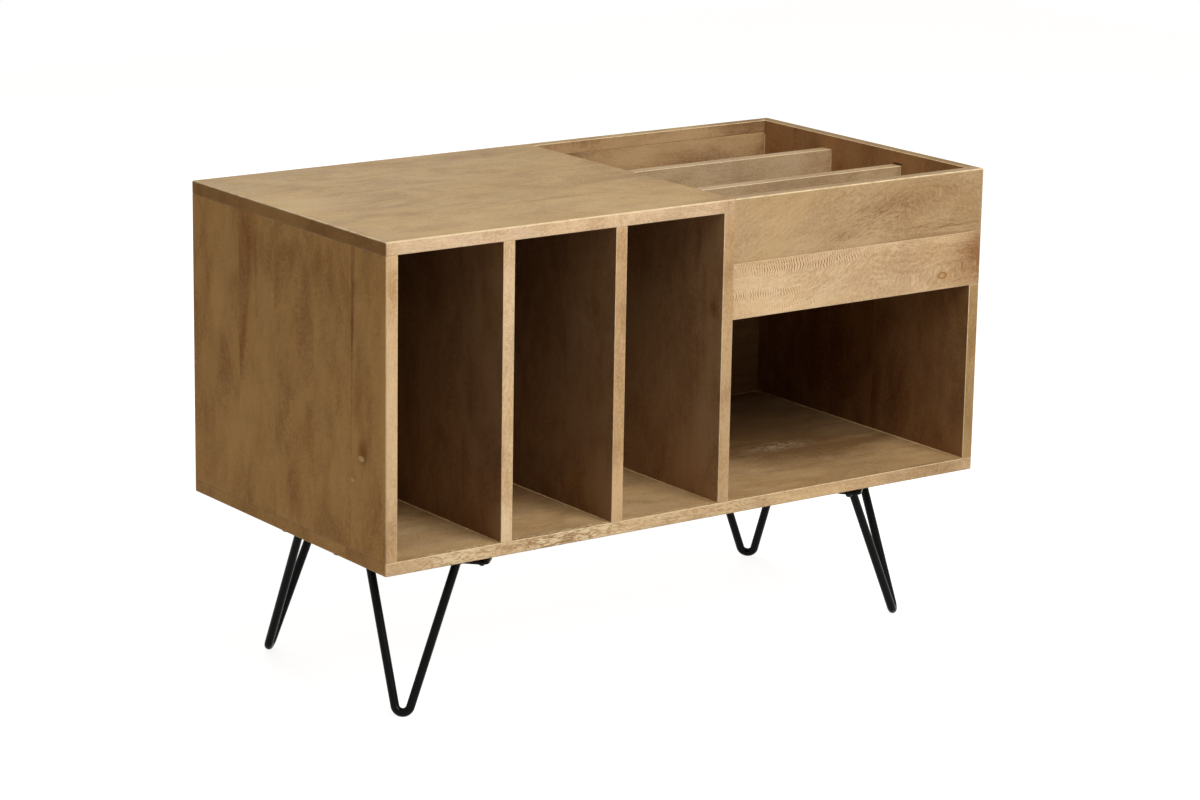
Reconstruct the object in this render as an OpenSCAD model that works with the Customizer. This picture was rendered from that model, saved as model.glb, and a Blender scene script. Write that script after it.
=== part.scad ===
// Record storage stand: three upright record slots on the left, an open browsing bin over a
// cubby on the right, on four raked hairpin legs. Millimetres, +Z up, the front faces -Y.
// The origin is on the floor, under the middle of the carcass.

/* [Carcass] */
// Overall width
body_w = 1000; // [940:5:1200]
// Overall depth
body_d = 493; // [440:1:600]
// Height of the wooden carcass, without the legs
body_h = 440; // [410:1:520]
// Thickness of every carcass board
board_t = 18; // [16:0.5:22]
// Radius sanded on the outer arrises of the carcass
arris_r = 3; // [1:0.5:5]

/* [Record slots] */
// Clear width of each of the three slots
slot_w = 161.5; // [120:0.5:180]

/* [Browsing bin] */
// Height of the bin's front panel, rim to lower edge
bin_front_h = 167; // [140:1:200]
// Height of the lower of the two planks glued up into that panel
lower_plank_h = 78; // [50:1:90]
// Thickness of the two bin dividers
bin_divider_t = 18; // [12:0.5:20]
// How far the bin dividers stop below the rim
bin_divider_drop = 20; // [20:1:60]
// Depth of the housings that hold the ends of the bin dividers
housing_depth = 6; // [3:0.5:8]
// Extra room in the front divider's right-hand housing, which shows as a dark line
housing_slack = 2.5; // [0.5:0.5:4]

/* [Legs] */
// Height of a leg, floor to the underside of its plate
leg_drop = 202; // [150:1:360]
// Diameter of the leg rod
rod_d = 12; // [10:0.5:14]
// Radius of the rod's bend, measured at the middle of the rod
bend_r = 11; // [8:0.5:20]
// Distance between the two arms of a leg where they meet the plate
leg_spread = 121; // [90:1:140]
// How far the foot of a leg stands outside the middle of its plate
leg_rake = 62; // [20:1:90]
// Middle of each plate to the two nearest faces of the carcass
leg_inset = 118; // [100:1:160]
// Length of a leg plate
plate_l = 212; // [170:1:240]
// Width of a leg plate
plate_w = 36; // [30:1:50]
// Thickness of a leg plate
plate_t = 4; // [2:0.5:5]
// Corner radius of the leg plates and of the wood blocks above them
plate_corner_r = 10; // [4:1:14]
// Thickness of the wood block between a leg plate and the carcass
block_t = 18; // [12:1:25]
// Height of the weld bead round each arm
weld_h = 4; // [2:0.5:6]
// Width of the weld bead beside the rod
weld_w = 3; // [1:0.5:4]

/* [Fasteners] */
// Diameter of the wooden dowels
dowel_d = 8; // [6:1:10]
// Depth a dowel reaches into the face of a board
dowel_face = 10; // [6:1:11]
// Depth a dowel reaches into the end of a board
dowel_end = 20; // [12:1:25]
// Distance of the outer dowels of a row from the row's ends
dowel_margin = 60; // [30:1:90]
// Shank diameter of the leg screws
screw_d = 5; // [4:0.5:6]
// Length of the leg screws under the head
screw_l = 35; // [32:1:36]
// Head diameter of the leg screws
head_d = 10; // [8:0.5:12]
// Head height of the leg screws
head_h = 5; // [3:0.5:6]
// Distance of the outer leg screws from the ends of the plate
screw_margin = 12; // [9:1:16]

/* [Hidden] */
$fn = 48;

// Clearances and laps
dowel_fit = 0.1;        // round a dowel, and past each of its ends
screw_fit = 0.1;        // round a screw in wood, and past its tip
plate_hole_fit = 0.25;  // round a screw in the plate
housing_fit = 0.3;      // round the end of a bin divider
bend_swell = 0.3;       // how much thicker the rod is round its bend
bend_lap = 3;           // degrees that the bend runs up each arm
cut_over = 1;           // how far a cutter runs past the face it opens

// Heights
carcass_z = leg_drop + plate_t + block_t;
floor_z = carcass_z + board_t;
top_z = carcass_z + body_h;
under_top_z = top_z - board_t;
bin_z = top_z - bin_front_h;
bin_floor_z = bin_z + board_t;
plank_joint_z = bin_z + lower_plank_h;
divider_top_z = top_z - bin_divider_drop;

// Places from left to right
left_x = -body_w / 2;
right_x = body_w / 2;
slots_x = left_x + board_t;
upright_x = slots_x + 3 * slot_w + 2 * board_t;
bin_x = upright_x + board_t;
right_inner_x = right_x - board_t;

// Places from front to back
front_y = -body_d / 2;
back_y = body_d / 2;
bin_front_y = front_y + board_t;
back_inner_y = back_y - board_t;
bin_gap = (back_inner_y - bin_front_y - 2 * bin_divider_t) / 3;
divider_front_y = bin_front_y + bin_gap;
divider_rear_y = back_inner_y - bin_gap - bin_divider_t;

// Colours
WOOD = [0.60, 0.47, 0.32];
DARK_WOOD = [0.45, 0.33, 0.21];
LIGHT_WOOD = [0.70, 0.57, 0.42];
RAW_WOOD = [0.78, 0.62, 0.42];
BLACK_STEEL = [0.10, 0.10, 0.10];
BLACK_ZINC = [0.16, 0.16, 0.17];

// Left face of slot divider 1 or 2
function slot_divider_x(i) = slots_x + i * slot_w + (i - 1) * board_t;

// Three places spread over a row that runs from a to b
function row(a, b) = [a + dowel_margin, (a + b) / 2, b - dowel_margin];

// Each dowel is [middle of the joint, direction into the face of the board it enters]
UP = [0, 0, 1];
DOWN = [0, 0, -1];
LEFT = [-1, 0, 0];
RIGHT = [1, 0, 0];
FRONT = [0, -1, 0];
half_t = board_t / 2;
side_x = left_x + half_t;
right_side_x = right_x - half_t;
upright_mid_x = upright_x + half_t;
divider_mid_x = [slot_divider_x(1) + half_t, slot_divider_x(2) + half_t];
back_mid_y = back_y - half_t;
plank_mid_z = [(bin_z + plank_joint_z) / 2, (plank_joint_z + top_z) / 2];

function top_dowels(x) = [for (y = row(front_y, back_inner_y)) [[x, y, under_top_z], UP]];
function bottom_dowels(x) = [for (y = row(front_y, back_inner_y)) [[x, y, floor_z], DOWN]];
bin_floor_left_dowels =
    [for (y = row(bin_front_y, back_inner_y)) [[bin_x, y, bin_z + half_t], LEFT]];
bin_floor_right_dowels =
    [for (y = row(bin_front_y, back_inner_y)) [[right_inner_x, y, bin_z + half_t], RIGHT]];
back_left_dowels = [for (z = row(floor_z, under_top_z)) [[slots_x, back_mid_y, z], LEFT]];
back_right_dowels = [for (z = row(floor_z, under_top_z)) [[right_inner_x, back_mid_y, z], RIGHT]];
plank_left_dowels = [for (z = plank_mid_z) [[bin_x, front_y + half_t, z], LEFT]];
plank_right_dowels = [for (z = plank_mid_z) [[right_side_x, bin_front_y, z], FRONT]];
rail_dowels =
    [for (x = [bin_x + dowel_margin, right_inner_x - dowel_margin]) [[x, back_mid_y, under_top_z], UP]];
top_x = concat([side_x], divider_mid_x, [upright_mid_x]);
bottom_x = concat(top_x, [right_side_x]);

// Leg geometry: the V lies in a plane that leans outwards
bend_d = rod_d + bend_swell;
tilt = atan2(leg_rake, leg_drop - bend_d / 2);
reach = norm([leg_rake, leg_drop - bend_d / 2]);
bend_z = reach - bend_r;
arm_half = leg_spread / 2;
splay = acos(bend_r / norm([arm_half, bend_z])) - atan2(bend_z, arm_half);
arm_l = sqrt(arm_half * arm_half + bend_z * bend_z - bend_r * bend_r);

// Leg screws: their places along a plate, their point and their cross recess
screw_x = [-plate_l / 2 + screw_margin, -leg_spread / 4, leg_spread / 4, plate_l / 2 - screw_margin];
tip_l = screw_d;
tip_d = screw_d / 5;
drive_l = 0.6 * head_d;
drive_w = 1.2;
drive_depth = head_h / 2;

// A box from its lowest corner to its highest corner
module box(low, high) {
    translate(low)
        cube(high - low);
}

// A rectangle with rounded corners, centred
module round_rect(w, h, r) {
    square([w - 2 * r, h], center = true);
    square([w, h - 2 * r], center = true);
    for (x = [-1, 1], y = [-1, 1])
        translate([x * (w / 2 - r), y * (h / 2 - r)])
            circle(r);
}

// The carcass's outer form, with every outer arris rounded
module outer_form() {
    translate([0, 0, carcass_z + body_h / 2])
        intersection() {
            linear_extrude(body_h, center = true)
                round_rect(body_w, body_d, arris_r);
            rotate([90, 0, 0])
                linear_extrude(body_d, center = true)
                    round_rect(body_w, body_h, arris_r);
            rotate([90, 0, 90])
                linear_extrude(body_w, center = true)
                    round_rect(body_d, body_h, arris_r);
        }
}

// A board on the outside of the carcass
module outer_board(low, high) {
    intersection() {
        box(low, high);
        outer_form();
    }
}

// Dowels, or with grow their holes
module dowels_at(list, grow = 0) {
    for (d = list)
        translate(d[0])
            rotate([0, acos(d[1].z), atan2(d[1].y, d[1].x)])
                translate([0, 0, -dowel_end - grow])
                    cylinder(d = dowel_d + 2 * grow, h = dowel_end + dowel_face + 2 * grow);
}

// Housing in a board for one end of a bin divider, from front y0 to rear y1
module housing(x0, x1, y0, y1, high_z) {
    box([x0, y0 - housing_fit, bin_floor_z], [x1, y1 + housing_fit, high_z + housing_fit]);
}

// Places its children at a corner of the carcass, with their +Y towards that corner
module at_corner(sx, sy, z) {
    translate([sx * (body_w / 2 - leg_inset), sy * (body_d / 2 - leg_inset), z])
        rotate([0, 0, atan2(sy, sx) - 90])
            children();
}

// Children at all four corners
module at_corners(z) {
    for (sx = [-1, 1], sy = [-1, 1])
        at_corner(sx, sy, z)
            children();
}

// A pan-head screw, its head under z = 0 and its shank above
module screw() {
    difference() {
        translate([0, 0, -head_h])
            cylinder(d = head_d, h = head_h);
        for (a = [0, 90])
            rotate([0, 0, a])
                translate([-drive_l / 2, -drive_w / 2, -head_h - cut_over])
                    cube([drive_l, drive_w, drive_depth + cut_over]);
    }
    cylinder(d = screw_d, h = screw_l - tip_l);
    translate([0, 0, screw_l - tip_l])
        cylinder(d1 = screw_d, d2 = tip_d, h = tip_l);
}

// Holes for the screws of one plate, from z0 to z1
module screw_holes(d, z0, z1) {
    for (x = screw_x)
        translate([x, 0, z0])
            cylinder(d = d, h = z1 - z0);
}

module plate_outline() {
    round_rect(plate_l, plate_w, plate_corner_r);
}

module top_panel() {
    color(WOOD)
        difference() {
            outer_board([left_x, front_y, under_top_z], [bin_x, back_y, top_z]);
            for (x = top_x)
                dowels_at(top_dowels(x), dowel_fit);
        }
}

module bottom_panel() {
    color(LIGHT_WOOD)
        difference() {
            outer_board([left_x, front_y, carcass_z], [right_x, back_y, floor_z]);
            for (x = bottom_x)
                dowels_at(bottom_dowels(x), dowel_fit);
            at_corners(leg_drop)
                screw_holes(screw_d + 2 * screw_fit, plate_t + block_t - cut_over, screw_l + screw_fit);
        }
}

module left_side() {
    color(DARK_WOOD)
        difference() {
            outer_board([left_x, front_y, floor_z], [slots_x, back_y, under_top_z]);
            dowels_at(top_dowels(side_x), dowel_fit);
            dowels_at(bottom_dowels(side_x), dowel_fit);
            dowels_at(back_left_dowels, dowel_fit);
        }
}

module right_side() {
    color(DARK_WOOD)
        difference() {
            outer_board([right_inner_x, front_y, floor_z], [right_x, back_y, top_z]);
            // notch for the end of the bin's front panel
            box([right_inner_x - cut_over, front_y - cut_over, bin_z],
                [right_x + cut_over, bin_front_y, top_z + cut_over]);
            housing(right_inner_x - cut_over, right_inner_x + housing_depth + housing_fit,
                divider_front_y - housing_slack, divider_front_y + bin_divider_t,
                divider_top_z + housing_slack);
            housing(right_inner_x - cut_over, right_inner_x + housing_depth + housing_fit,
                divider_rear_y, divider_rear_y + bin_divider_t, divider_top_z);
            dowels_at(bottom_dowels(right_side_x), dowel_fit);
            dowels_at(bin_floor_right_dowels, dowel_fit);
            dowels_at(back_right_dowels, dowel_fit);
            dowels_at(plank_right_dowels, dowel_fit);
        }
}

module middle_upright() {
    color(DARK_WOOD)
        difference() {
            box([upright_x, front_y, floor_z], [bin_x, back_inner_y, under_top_z]);
            for (y = [divider_front_y, divider_rear_y])
                housing(bin_x - housing_depth - housing_fit, bin_x + cut_over, y, y + bin_divider_t,
                    divider_top_z);
            dowels_at(top_dowels(upright_mid_x), dowel_fit);
            dowels_at(bottom_dowels(upright_mid_x), dowel_fit);
            dowels_at(bin_floor_left_dowels, dowel_fit);
            dowels_at(plank_left_dowels, dowel_fit);
        }
}

module slot_divider(i) {
    color(DARK_WOOD)
        difference() {
            box([slot_divider_x(i), front_y, floor_z],
                [slot_divider_x(i) + board_t, back_inner_y, under_top_z]);
            dowels_at(top_dowels(divider_mid_x[i - 1]), dowel_fit);
            dowels_at(bottom_dowels(divider_mid_x[i - 1]), dowel_fit);
        }
}

module back_panel() {
    color(DARK_WOOD)
        difference() {
            box([slots_x, back_inner_y, floor_z], [right_inner_x, back_y, under_top_z]);
            dowels_at(back_left_dowels, dowel_fit);
            dowels_at(back_right_dowels, dowel_fit);
            dowels_at(rail_dowels, dowel_fit);
        }
}

module bin_back_rail() {
    color(WOOD)
        difference() {
            outer_board([bin_x, back_inner_y, under_top_z], [right_inner_x, back_y, top_z]);
            dowels_at(rail_dowels, dowel_fit);
        }
}

module bin_floor() {
    color(WOOD)
        difference() {
            box([bin_x, bin_front_y, bin_z], [right_inner_x, back_inner_y, bin_floor_z]);
            dowels_at(bin_floor_left_dowels, dowel_fit);
            dowels_at(bin_floor_right_dowels, dowel_fit);
        }
}

module bin_front_plank(z0, z1, tone) {
    color(tone)
        difference() {
            outer_board([bin_x, front_y, z0], [right_x, bin_front_y, z1]);
            dowels_at(plank_left_dowels, dowel_fit);
            dowels_at(plank_right_dowels, dowel_fit);
        }
}

module bin_divider(y) {
    color(WOOD)
        box([bin_x - housing_depth, y, bin_floor_z],
            [right_inner_x + housing_depth, y + bin_divider_t, divider_top_z]);
}

module dowels() {
    color(LIGHT_WOOD) {
        for (x = top_x)
            dowels_at(top_dowels(x));
        for (x = bottom_x)
            dowels_at(bottom_dowels(x));
        dowels_at(bin_floor_left_dowels);
        dowels_at(bin_floor_right_dowels);
        dowels_at(back_left_dowels);
        dowels_at(back_right_dowels);
        dowels_at(plank_left_dowels);
        dowels_at(plank_right_dowels);
        dowels_at(rail_dowels);
    }
}

module leg_screws() {
    color(BLACK_ZINC)
        at_corners(leg_drop)
            for (x = screw_x)
                translate([x, 0, 0])
                    screw();
}

module leg_block() {
    color(RAW_WOOD)
        difference() {
            linear_extrude(block_t)
                plate_outline();
            screw_holes(screw_d + 2 * screw_fit, -cut_over, block_t + cut_over);
        }
}

module leg_plate() {
    color(BLACK_STEEL)
        difference() {
            linear_extrude(plate_t)
                plate_outline();
            screw_holes(screw_d + 2 * plate_hole_fit, -cut_over, plate_t + cut_over);
        }
}

// One length of rod bent into a V, with its top at z = 0 and a weld bead round each arm
module leg_rod() {
    color(BLACK_STEEL)
        difference() {
            union() {
                rotate([tilt, 0, 0]) {
                    for (s = [-1, 1])
                        translate([s * arm_half, 0, 0])
                            rotate([0, s * splay, 0])
                                translate([0, 0, -arm_l])
                                    cylinder(d = rod_d, h = arm_l + rod_d);
                    translate([0, 0, -bend_z])
                        rotate([90, 0, 0])
                            rotate([0, 0, 180 + splay - bend_lap])
                                rotate_extrude(angle = 180 - 2 * splay + 2 * bend_lap)
                                    translate([bend_r, 0])
                                        circle(d = bend_d);
                }
                for (s = [-1, 1])
                    translate([s * arm_half, 0, -weld_h])
                        cylinder(d1 = rod_d, d2 = rod_d + 2 * weld_w, h = weld_h);
            }
            translate([-plate_l, -plate_w, 0])
                cube([2 * plate_l, 2 * plate_w, 2 * rod_d]);
        }
}

top_panel();
bottom_panel();
left_side();
right_side();
middle_upright();
slot_divider(1);  // slot_divider_left
slot_divider(2);  // slot_divider_right
back_panel();
bin_back_rail();
bin_floor();
bin_front_plank(plank_joint_z, top_z, WOOD);  // bin_front_upper_plank
bin_front_plank(bin_z, plank_joint_z, LIGHT_WOOD);  // bin_front_lower_plank
bin_divider(divider_front_y);  // bin_divider_front
bin_divider(divider_rear_y);  // bin_divider_rear
dowels();
leg_screws();
at_corner(-1, -1, leg_drop + plate_t) leg_block();  // leg_block_front_left
at_corner(1, -1, leg_drop + plate_t) leg_block();  // leg_block_front_right
at_corner(-1, 1, leg_drop + plate_t) leg_block();  // leg_block_rear_left
at_corner(1, 1, leg_drop + plate_t) leg_block();  // leg_block_rear_right
at_corner(-1, -1, leg_drop) leg_plate();  // leg_plate_front_left
at_corner(1, -1, leg_drop) leg_plate();  // leg_plate_front_right
at_corner(-1, 1, leg_drop) leg_plate();  // leg_plate_rear_left
at_corner(1, 1, leg_drop) leg_plate();  // leg_plate_rear_right
at_corner(-1, -1, leg_drop) leg_rod();  // leg_rod_front_left
at_corner(1, -1, leg_drop) leg_rod();  // leg_rod_front_right
at_corner(-1, 1, leg_drop) leg_rod();  // leg_rod_rear_left
at_corner(1, 1, leg_drop) leg_rod();  // leg_rod_rear_right
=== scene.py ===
"""Record storage stand in stained solid hardwood on black hairpin legs.

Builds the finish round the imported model: broken-edged boards glued up from staves, filler in the
inside corners, bent leg rods with their weld beads, punched plates, raw wood blocks and screws.
"""

import math
import random

import bmesh
import bpy
from bpy.props import FloatProperty, FloatVectorProperty, IntProperty, PointerProperty
from mathutils import Matrix, Vector


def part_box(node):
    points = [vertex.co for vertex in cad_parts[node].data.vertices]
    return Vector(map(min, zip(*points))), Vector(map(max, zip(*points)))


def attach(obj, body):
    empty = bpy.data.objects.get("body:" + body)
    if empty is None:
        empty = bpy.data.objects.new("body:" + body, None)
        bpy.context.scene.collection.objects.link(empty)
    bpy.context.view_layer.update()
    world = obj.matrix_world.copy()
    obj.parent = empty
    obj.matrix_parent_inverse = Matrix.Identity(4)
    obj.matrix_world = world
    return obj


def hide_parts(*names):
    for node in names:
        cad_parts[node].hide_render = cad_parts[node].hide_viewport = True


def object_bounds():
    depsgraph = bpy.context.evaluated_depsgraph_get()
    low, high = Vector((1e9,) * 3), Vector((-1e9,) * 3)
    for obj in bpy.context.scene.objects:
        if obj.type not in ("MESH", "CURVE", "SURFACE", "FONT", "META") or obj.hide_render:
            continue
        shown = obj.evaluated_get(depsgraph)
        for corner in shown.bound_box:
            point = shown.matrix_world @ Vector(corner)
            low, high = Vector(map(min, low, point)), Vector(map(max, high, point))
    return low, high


bl_info = {
    "name": "Record storage stand",
    "version": (1, 0, 0),
    "blender": (4, 5, 0),
    "location": "View3D > Sidebar > Stand",
    "description": "Boards, legs and fittings of a record storage stand",
    "category": "Object",
}

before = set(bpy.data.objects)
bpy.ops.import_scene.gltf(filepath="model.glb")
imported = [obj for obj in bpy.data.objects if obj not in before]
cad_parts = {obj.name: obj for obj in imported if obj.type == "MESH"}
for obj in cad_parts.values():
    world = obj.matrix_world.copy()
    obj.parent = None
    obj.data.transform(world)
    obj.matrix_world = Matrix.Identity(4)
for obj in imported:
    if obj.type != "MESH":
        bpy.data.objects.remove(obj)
CAD_LOW, CAD_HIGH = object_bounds()

MM = 0.001
BODY = "root"
CORNERS = {
    "front_left": (-1, -1),
    "front_right": (1, -1),
    "rear_left": (-1, 1),
    "rear_right": (1, 1),
}

# Places that the frame gives, in metres
SLOTS_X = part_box("left_side")[1].x
BIN_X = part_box("middle_upright")[1].x
RIGHT_INNER_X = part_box("right_side")[0].x
FLOOR_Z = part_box("bottom_panel")[1].z
UNDER_TOP_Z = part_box("top_panel")[0].z
BIN_Z, BIN_FLOOR_Z = (corner.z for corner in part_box("bin_floor"))
BIN_FRONT_Y, BACK_INNER_Y = (corner.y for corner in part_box("bin_floor"))
CARCASS_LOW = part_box("bottom_panel")[0]
CARCASS_HIGH = CAD_HIGH.copy()
CARCASS_MIDDLE = (CARCASS_LOW + CARCASS_HIGH) / 2
FRONT_Y = CARCASS_LOW.y

# Faces no deeper than this in the carcass's box are its outside, and those this near are in it
OUTSIDE_DEPTH = 4 * MM
FLUSH = 0.1 * MM
# Boards that pass the bin's corner are split this far inside the upright and the bin's floor
SPLIT_INSET = 9 * MM

# The housings of the bin dividers in the frame: the fit all round, the gap before the front one
HOUSING_FIT = 0.3 * MM
HOUSING_SLACK = 2.5 * MM

# How pale the broken edges are, partly where sanding went through the stain and partly painted
# highlight where the edges catch the light: round the openings, along joints on the outside, on
# the carcass's outer edges and on those at the top
FINE_WEAR_AND_HIGHLIGHT = 0.95
JOINT_WEAR = 0.35
OUTER_WEAR_AND_HIGHLIGHT = 0.25
TOP_WEAR_AND_HIGHLIGHT = 1.0


def hex_colour(code):
    """An sRGB hex code as linear red, green and blue."""
    parts = [int(code[i : i + 2], 16) / 255 for i in (1, 3, 5)]
    return [v / 12.92 if v <= 0.04045 else ((v + 0.055) / 1.055) ** 2.4 for v in parts]


def length_setting(name, description, size, low, high):
    """A length in millimetres as a property in metres."""
    limits = {"default": size * MM, "min": low * MM, "max": high * MM}
    return FloatProperty(name=name, description=description, unit="LENGTH", **limits)


def colour_setting(name, description, code):
    return FloatVectorProperty(
        name=name, description=description, subtype="COLOR", size=3, default=hex_colour(code)
    )


class StandSizes(bpy.types.PropertyGroup):
    """Sizes that the finish adds to the frame's own."""

    outer_arris: length_setting("Outer arris", "Radius on the carcass's outer edges", 2.0, 0.5, 5)
    fine_arris: length_setting("Fine arris", "Radius broken on every other edge", 0.8, 0.1, 1.5)
    filler_bead: length_setting("Filler bead", "Radius of the filler in inside corners", 1.1, 0.2, 2)
    rod: length_setting("Rod", "Diameter of the leg rods", 12, 8, 16)
    bend: length_setting("Bend", "Radius of a leg's bend at the middle of the rod", 11, 8, 20)
    spread: length_setting("Spread", "Distance between a leg's arms at the plate", 121, 90, 140)
    rake: length_setting("Rake", "How far a foot stands outside its plate's middle", 62, 20, 90)
    weld_height: length_setting("Weld height", "Height of the weld bead on an arm", 4, 1, 6)
    weld_width: length_setting("Weld width", "Width of the weld bead on the plate", 3, 1, 5)
    plate_length: length_setting("Plate length", "Length of a leg plate", 212, 150, 250)
    plate_width: length_setting("Plate width", "Width of a leg plate", 36, 25, 60)
    plate_corner: length_setting("Plate corner", "Corner radius of a leg plate", 10, 2, 14)
    screw_margin: length_setting("Screw margin", "Outer screws to the plate's ends", 12, 8, 20)
    screw_shank: length_setting("Screw shank", "Diameter of a screw's shank", 5, 3, 8)
    screw_head: length_setting("Screw head", "Diameter of a screw's head", 10, 6, 14)
    screw_head_height: length_setting("Head height", "Height of a screw's head", 5, 2, 6)
    seed: IntProperty(name="Seed", description="Picks the figure of the staves", default=7)


class StandTones(bpy.types.PropertyGroup):
    """Colours of the finish."""

    pore: colour_setting("Pore", "Stain gathered in the open pores", "#7a5634")
    knot: colour_setting("Knot", "Yellow-brown wood of the knots", "#96642a")
    # The sanded tone is also used for painted highlight on pale edges and painted glint on curly
    # threads
    sanded: colour_setting("Sanded arris", "Stain sanded thin on the edges", "#e3cda6")
    filler: colour_setting("Filler", "Wood filler in the corners and knots", "#e6c28c")
    # The raw wood is set light, partly to paint the light that reaches the blocks in the shade under
    # the carcass
    raw: colour_setting("Raw wood", "Sawn wood of the leg blocks", "#f3b76f")
    dowel: colour_setting("Dowel", "Beech of the dowels", "#d9b98f")
    coat: colour_setting("Powder coat", "Black powder coat of the legs", "#070706")
    screw: colour_setting("Screw", "Black zinc of the screws", "#1d1d1e")


# ----------------------------------------------------------------------------------------
# Boards: how each is cut, and the marks that its faces show

# Turns that bring a frame place into board axes: X along the grain, Y across, Z through
GRAIN_TURNS = {
    "along_x_across_y": (0, 0, 0),
    "along_z_across_y": (0, math.radians(90), 0),
    "along_x_across_z": (math.radians(-90), 0, 0),
}

# Tones by the side that a face looks to, on the outside of the carcass: the stain with painted
# light and shade in it, lightest at the front, darker on top and more orange on the sides
OUTSIDE_TONES = {"front": "#c8a77e", "side": "#c8995d", "top": "#a98c60", "back": "#b08a5a"}
# Inside the carcass, faces get darker tones than outside: painted shade in the slots and the
# cubby, and less of it in the bin, which is open at the top
SHADED_INSIDE_TONE = "#8d6c4a"
SHADED_BIN_TONE = "#a88a64"
# How much darker and lighter than its tone the figure of a board goes
FIGURE_DARK = (0.46, 0.34, 0.25)
FIGURE_LIGHT = (1.21, 1.28, 1.37)
# Tints that the wood drifts between
TINT_WARM = (1.015, 1.0, 0.96)
TINT_GREY = (0.985, 1.0, 1.04)
# Fiddleback bars: their pitch along the grain and the height of a row, in millimetres, and how
# many pitches they lean and wander
BAR_PITCH = 4.4
ROW_HEIGHT = 12
BAR_LEAN = 0.45
BAR_WANDER = 2.2
# How much darker or lighter than the others a stave is, either way
STAVE_STEP = 0.08
# Growth rings: their spacing in millimetres, and how fast the pith rises along a board
RING_SPACING = 8
PITH_RISE = 0.11
# Length over which a wedge fades in from its tip, in millimetres
TIP_FADE = 60
# How far apart in the log the staves of a board are cut, in metres
LOG_REACH = (3.1, 0.37, 0.29)
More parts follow.
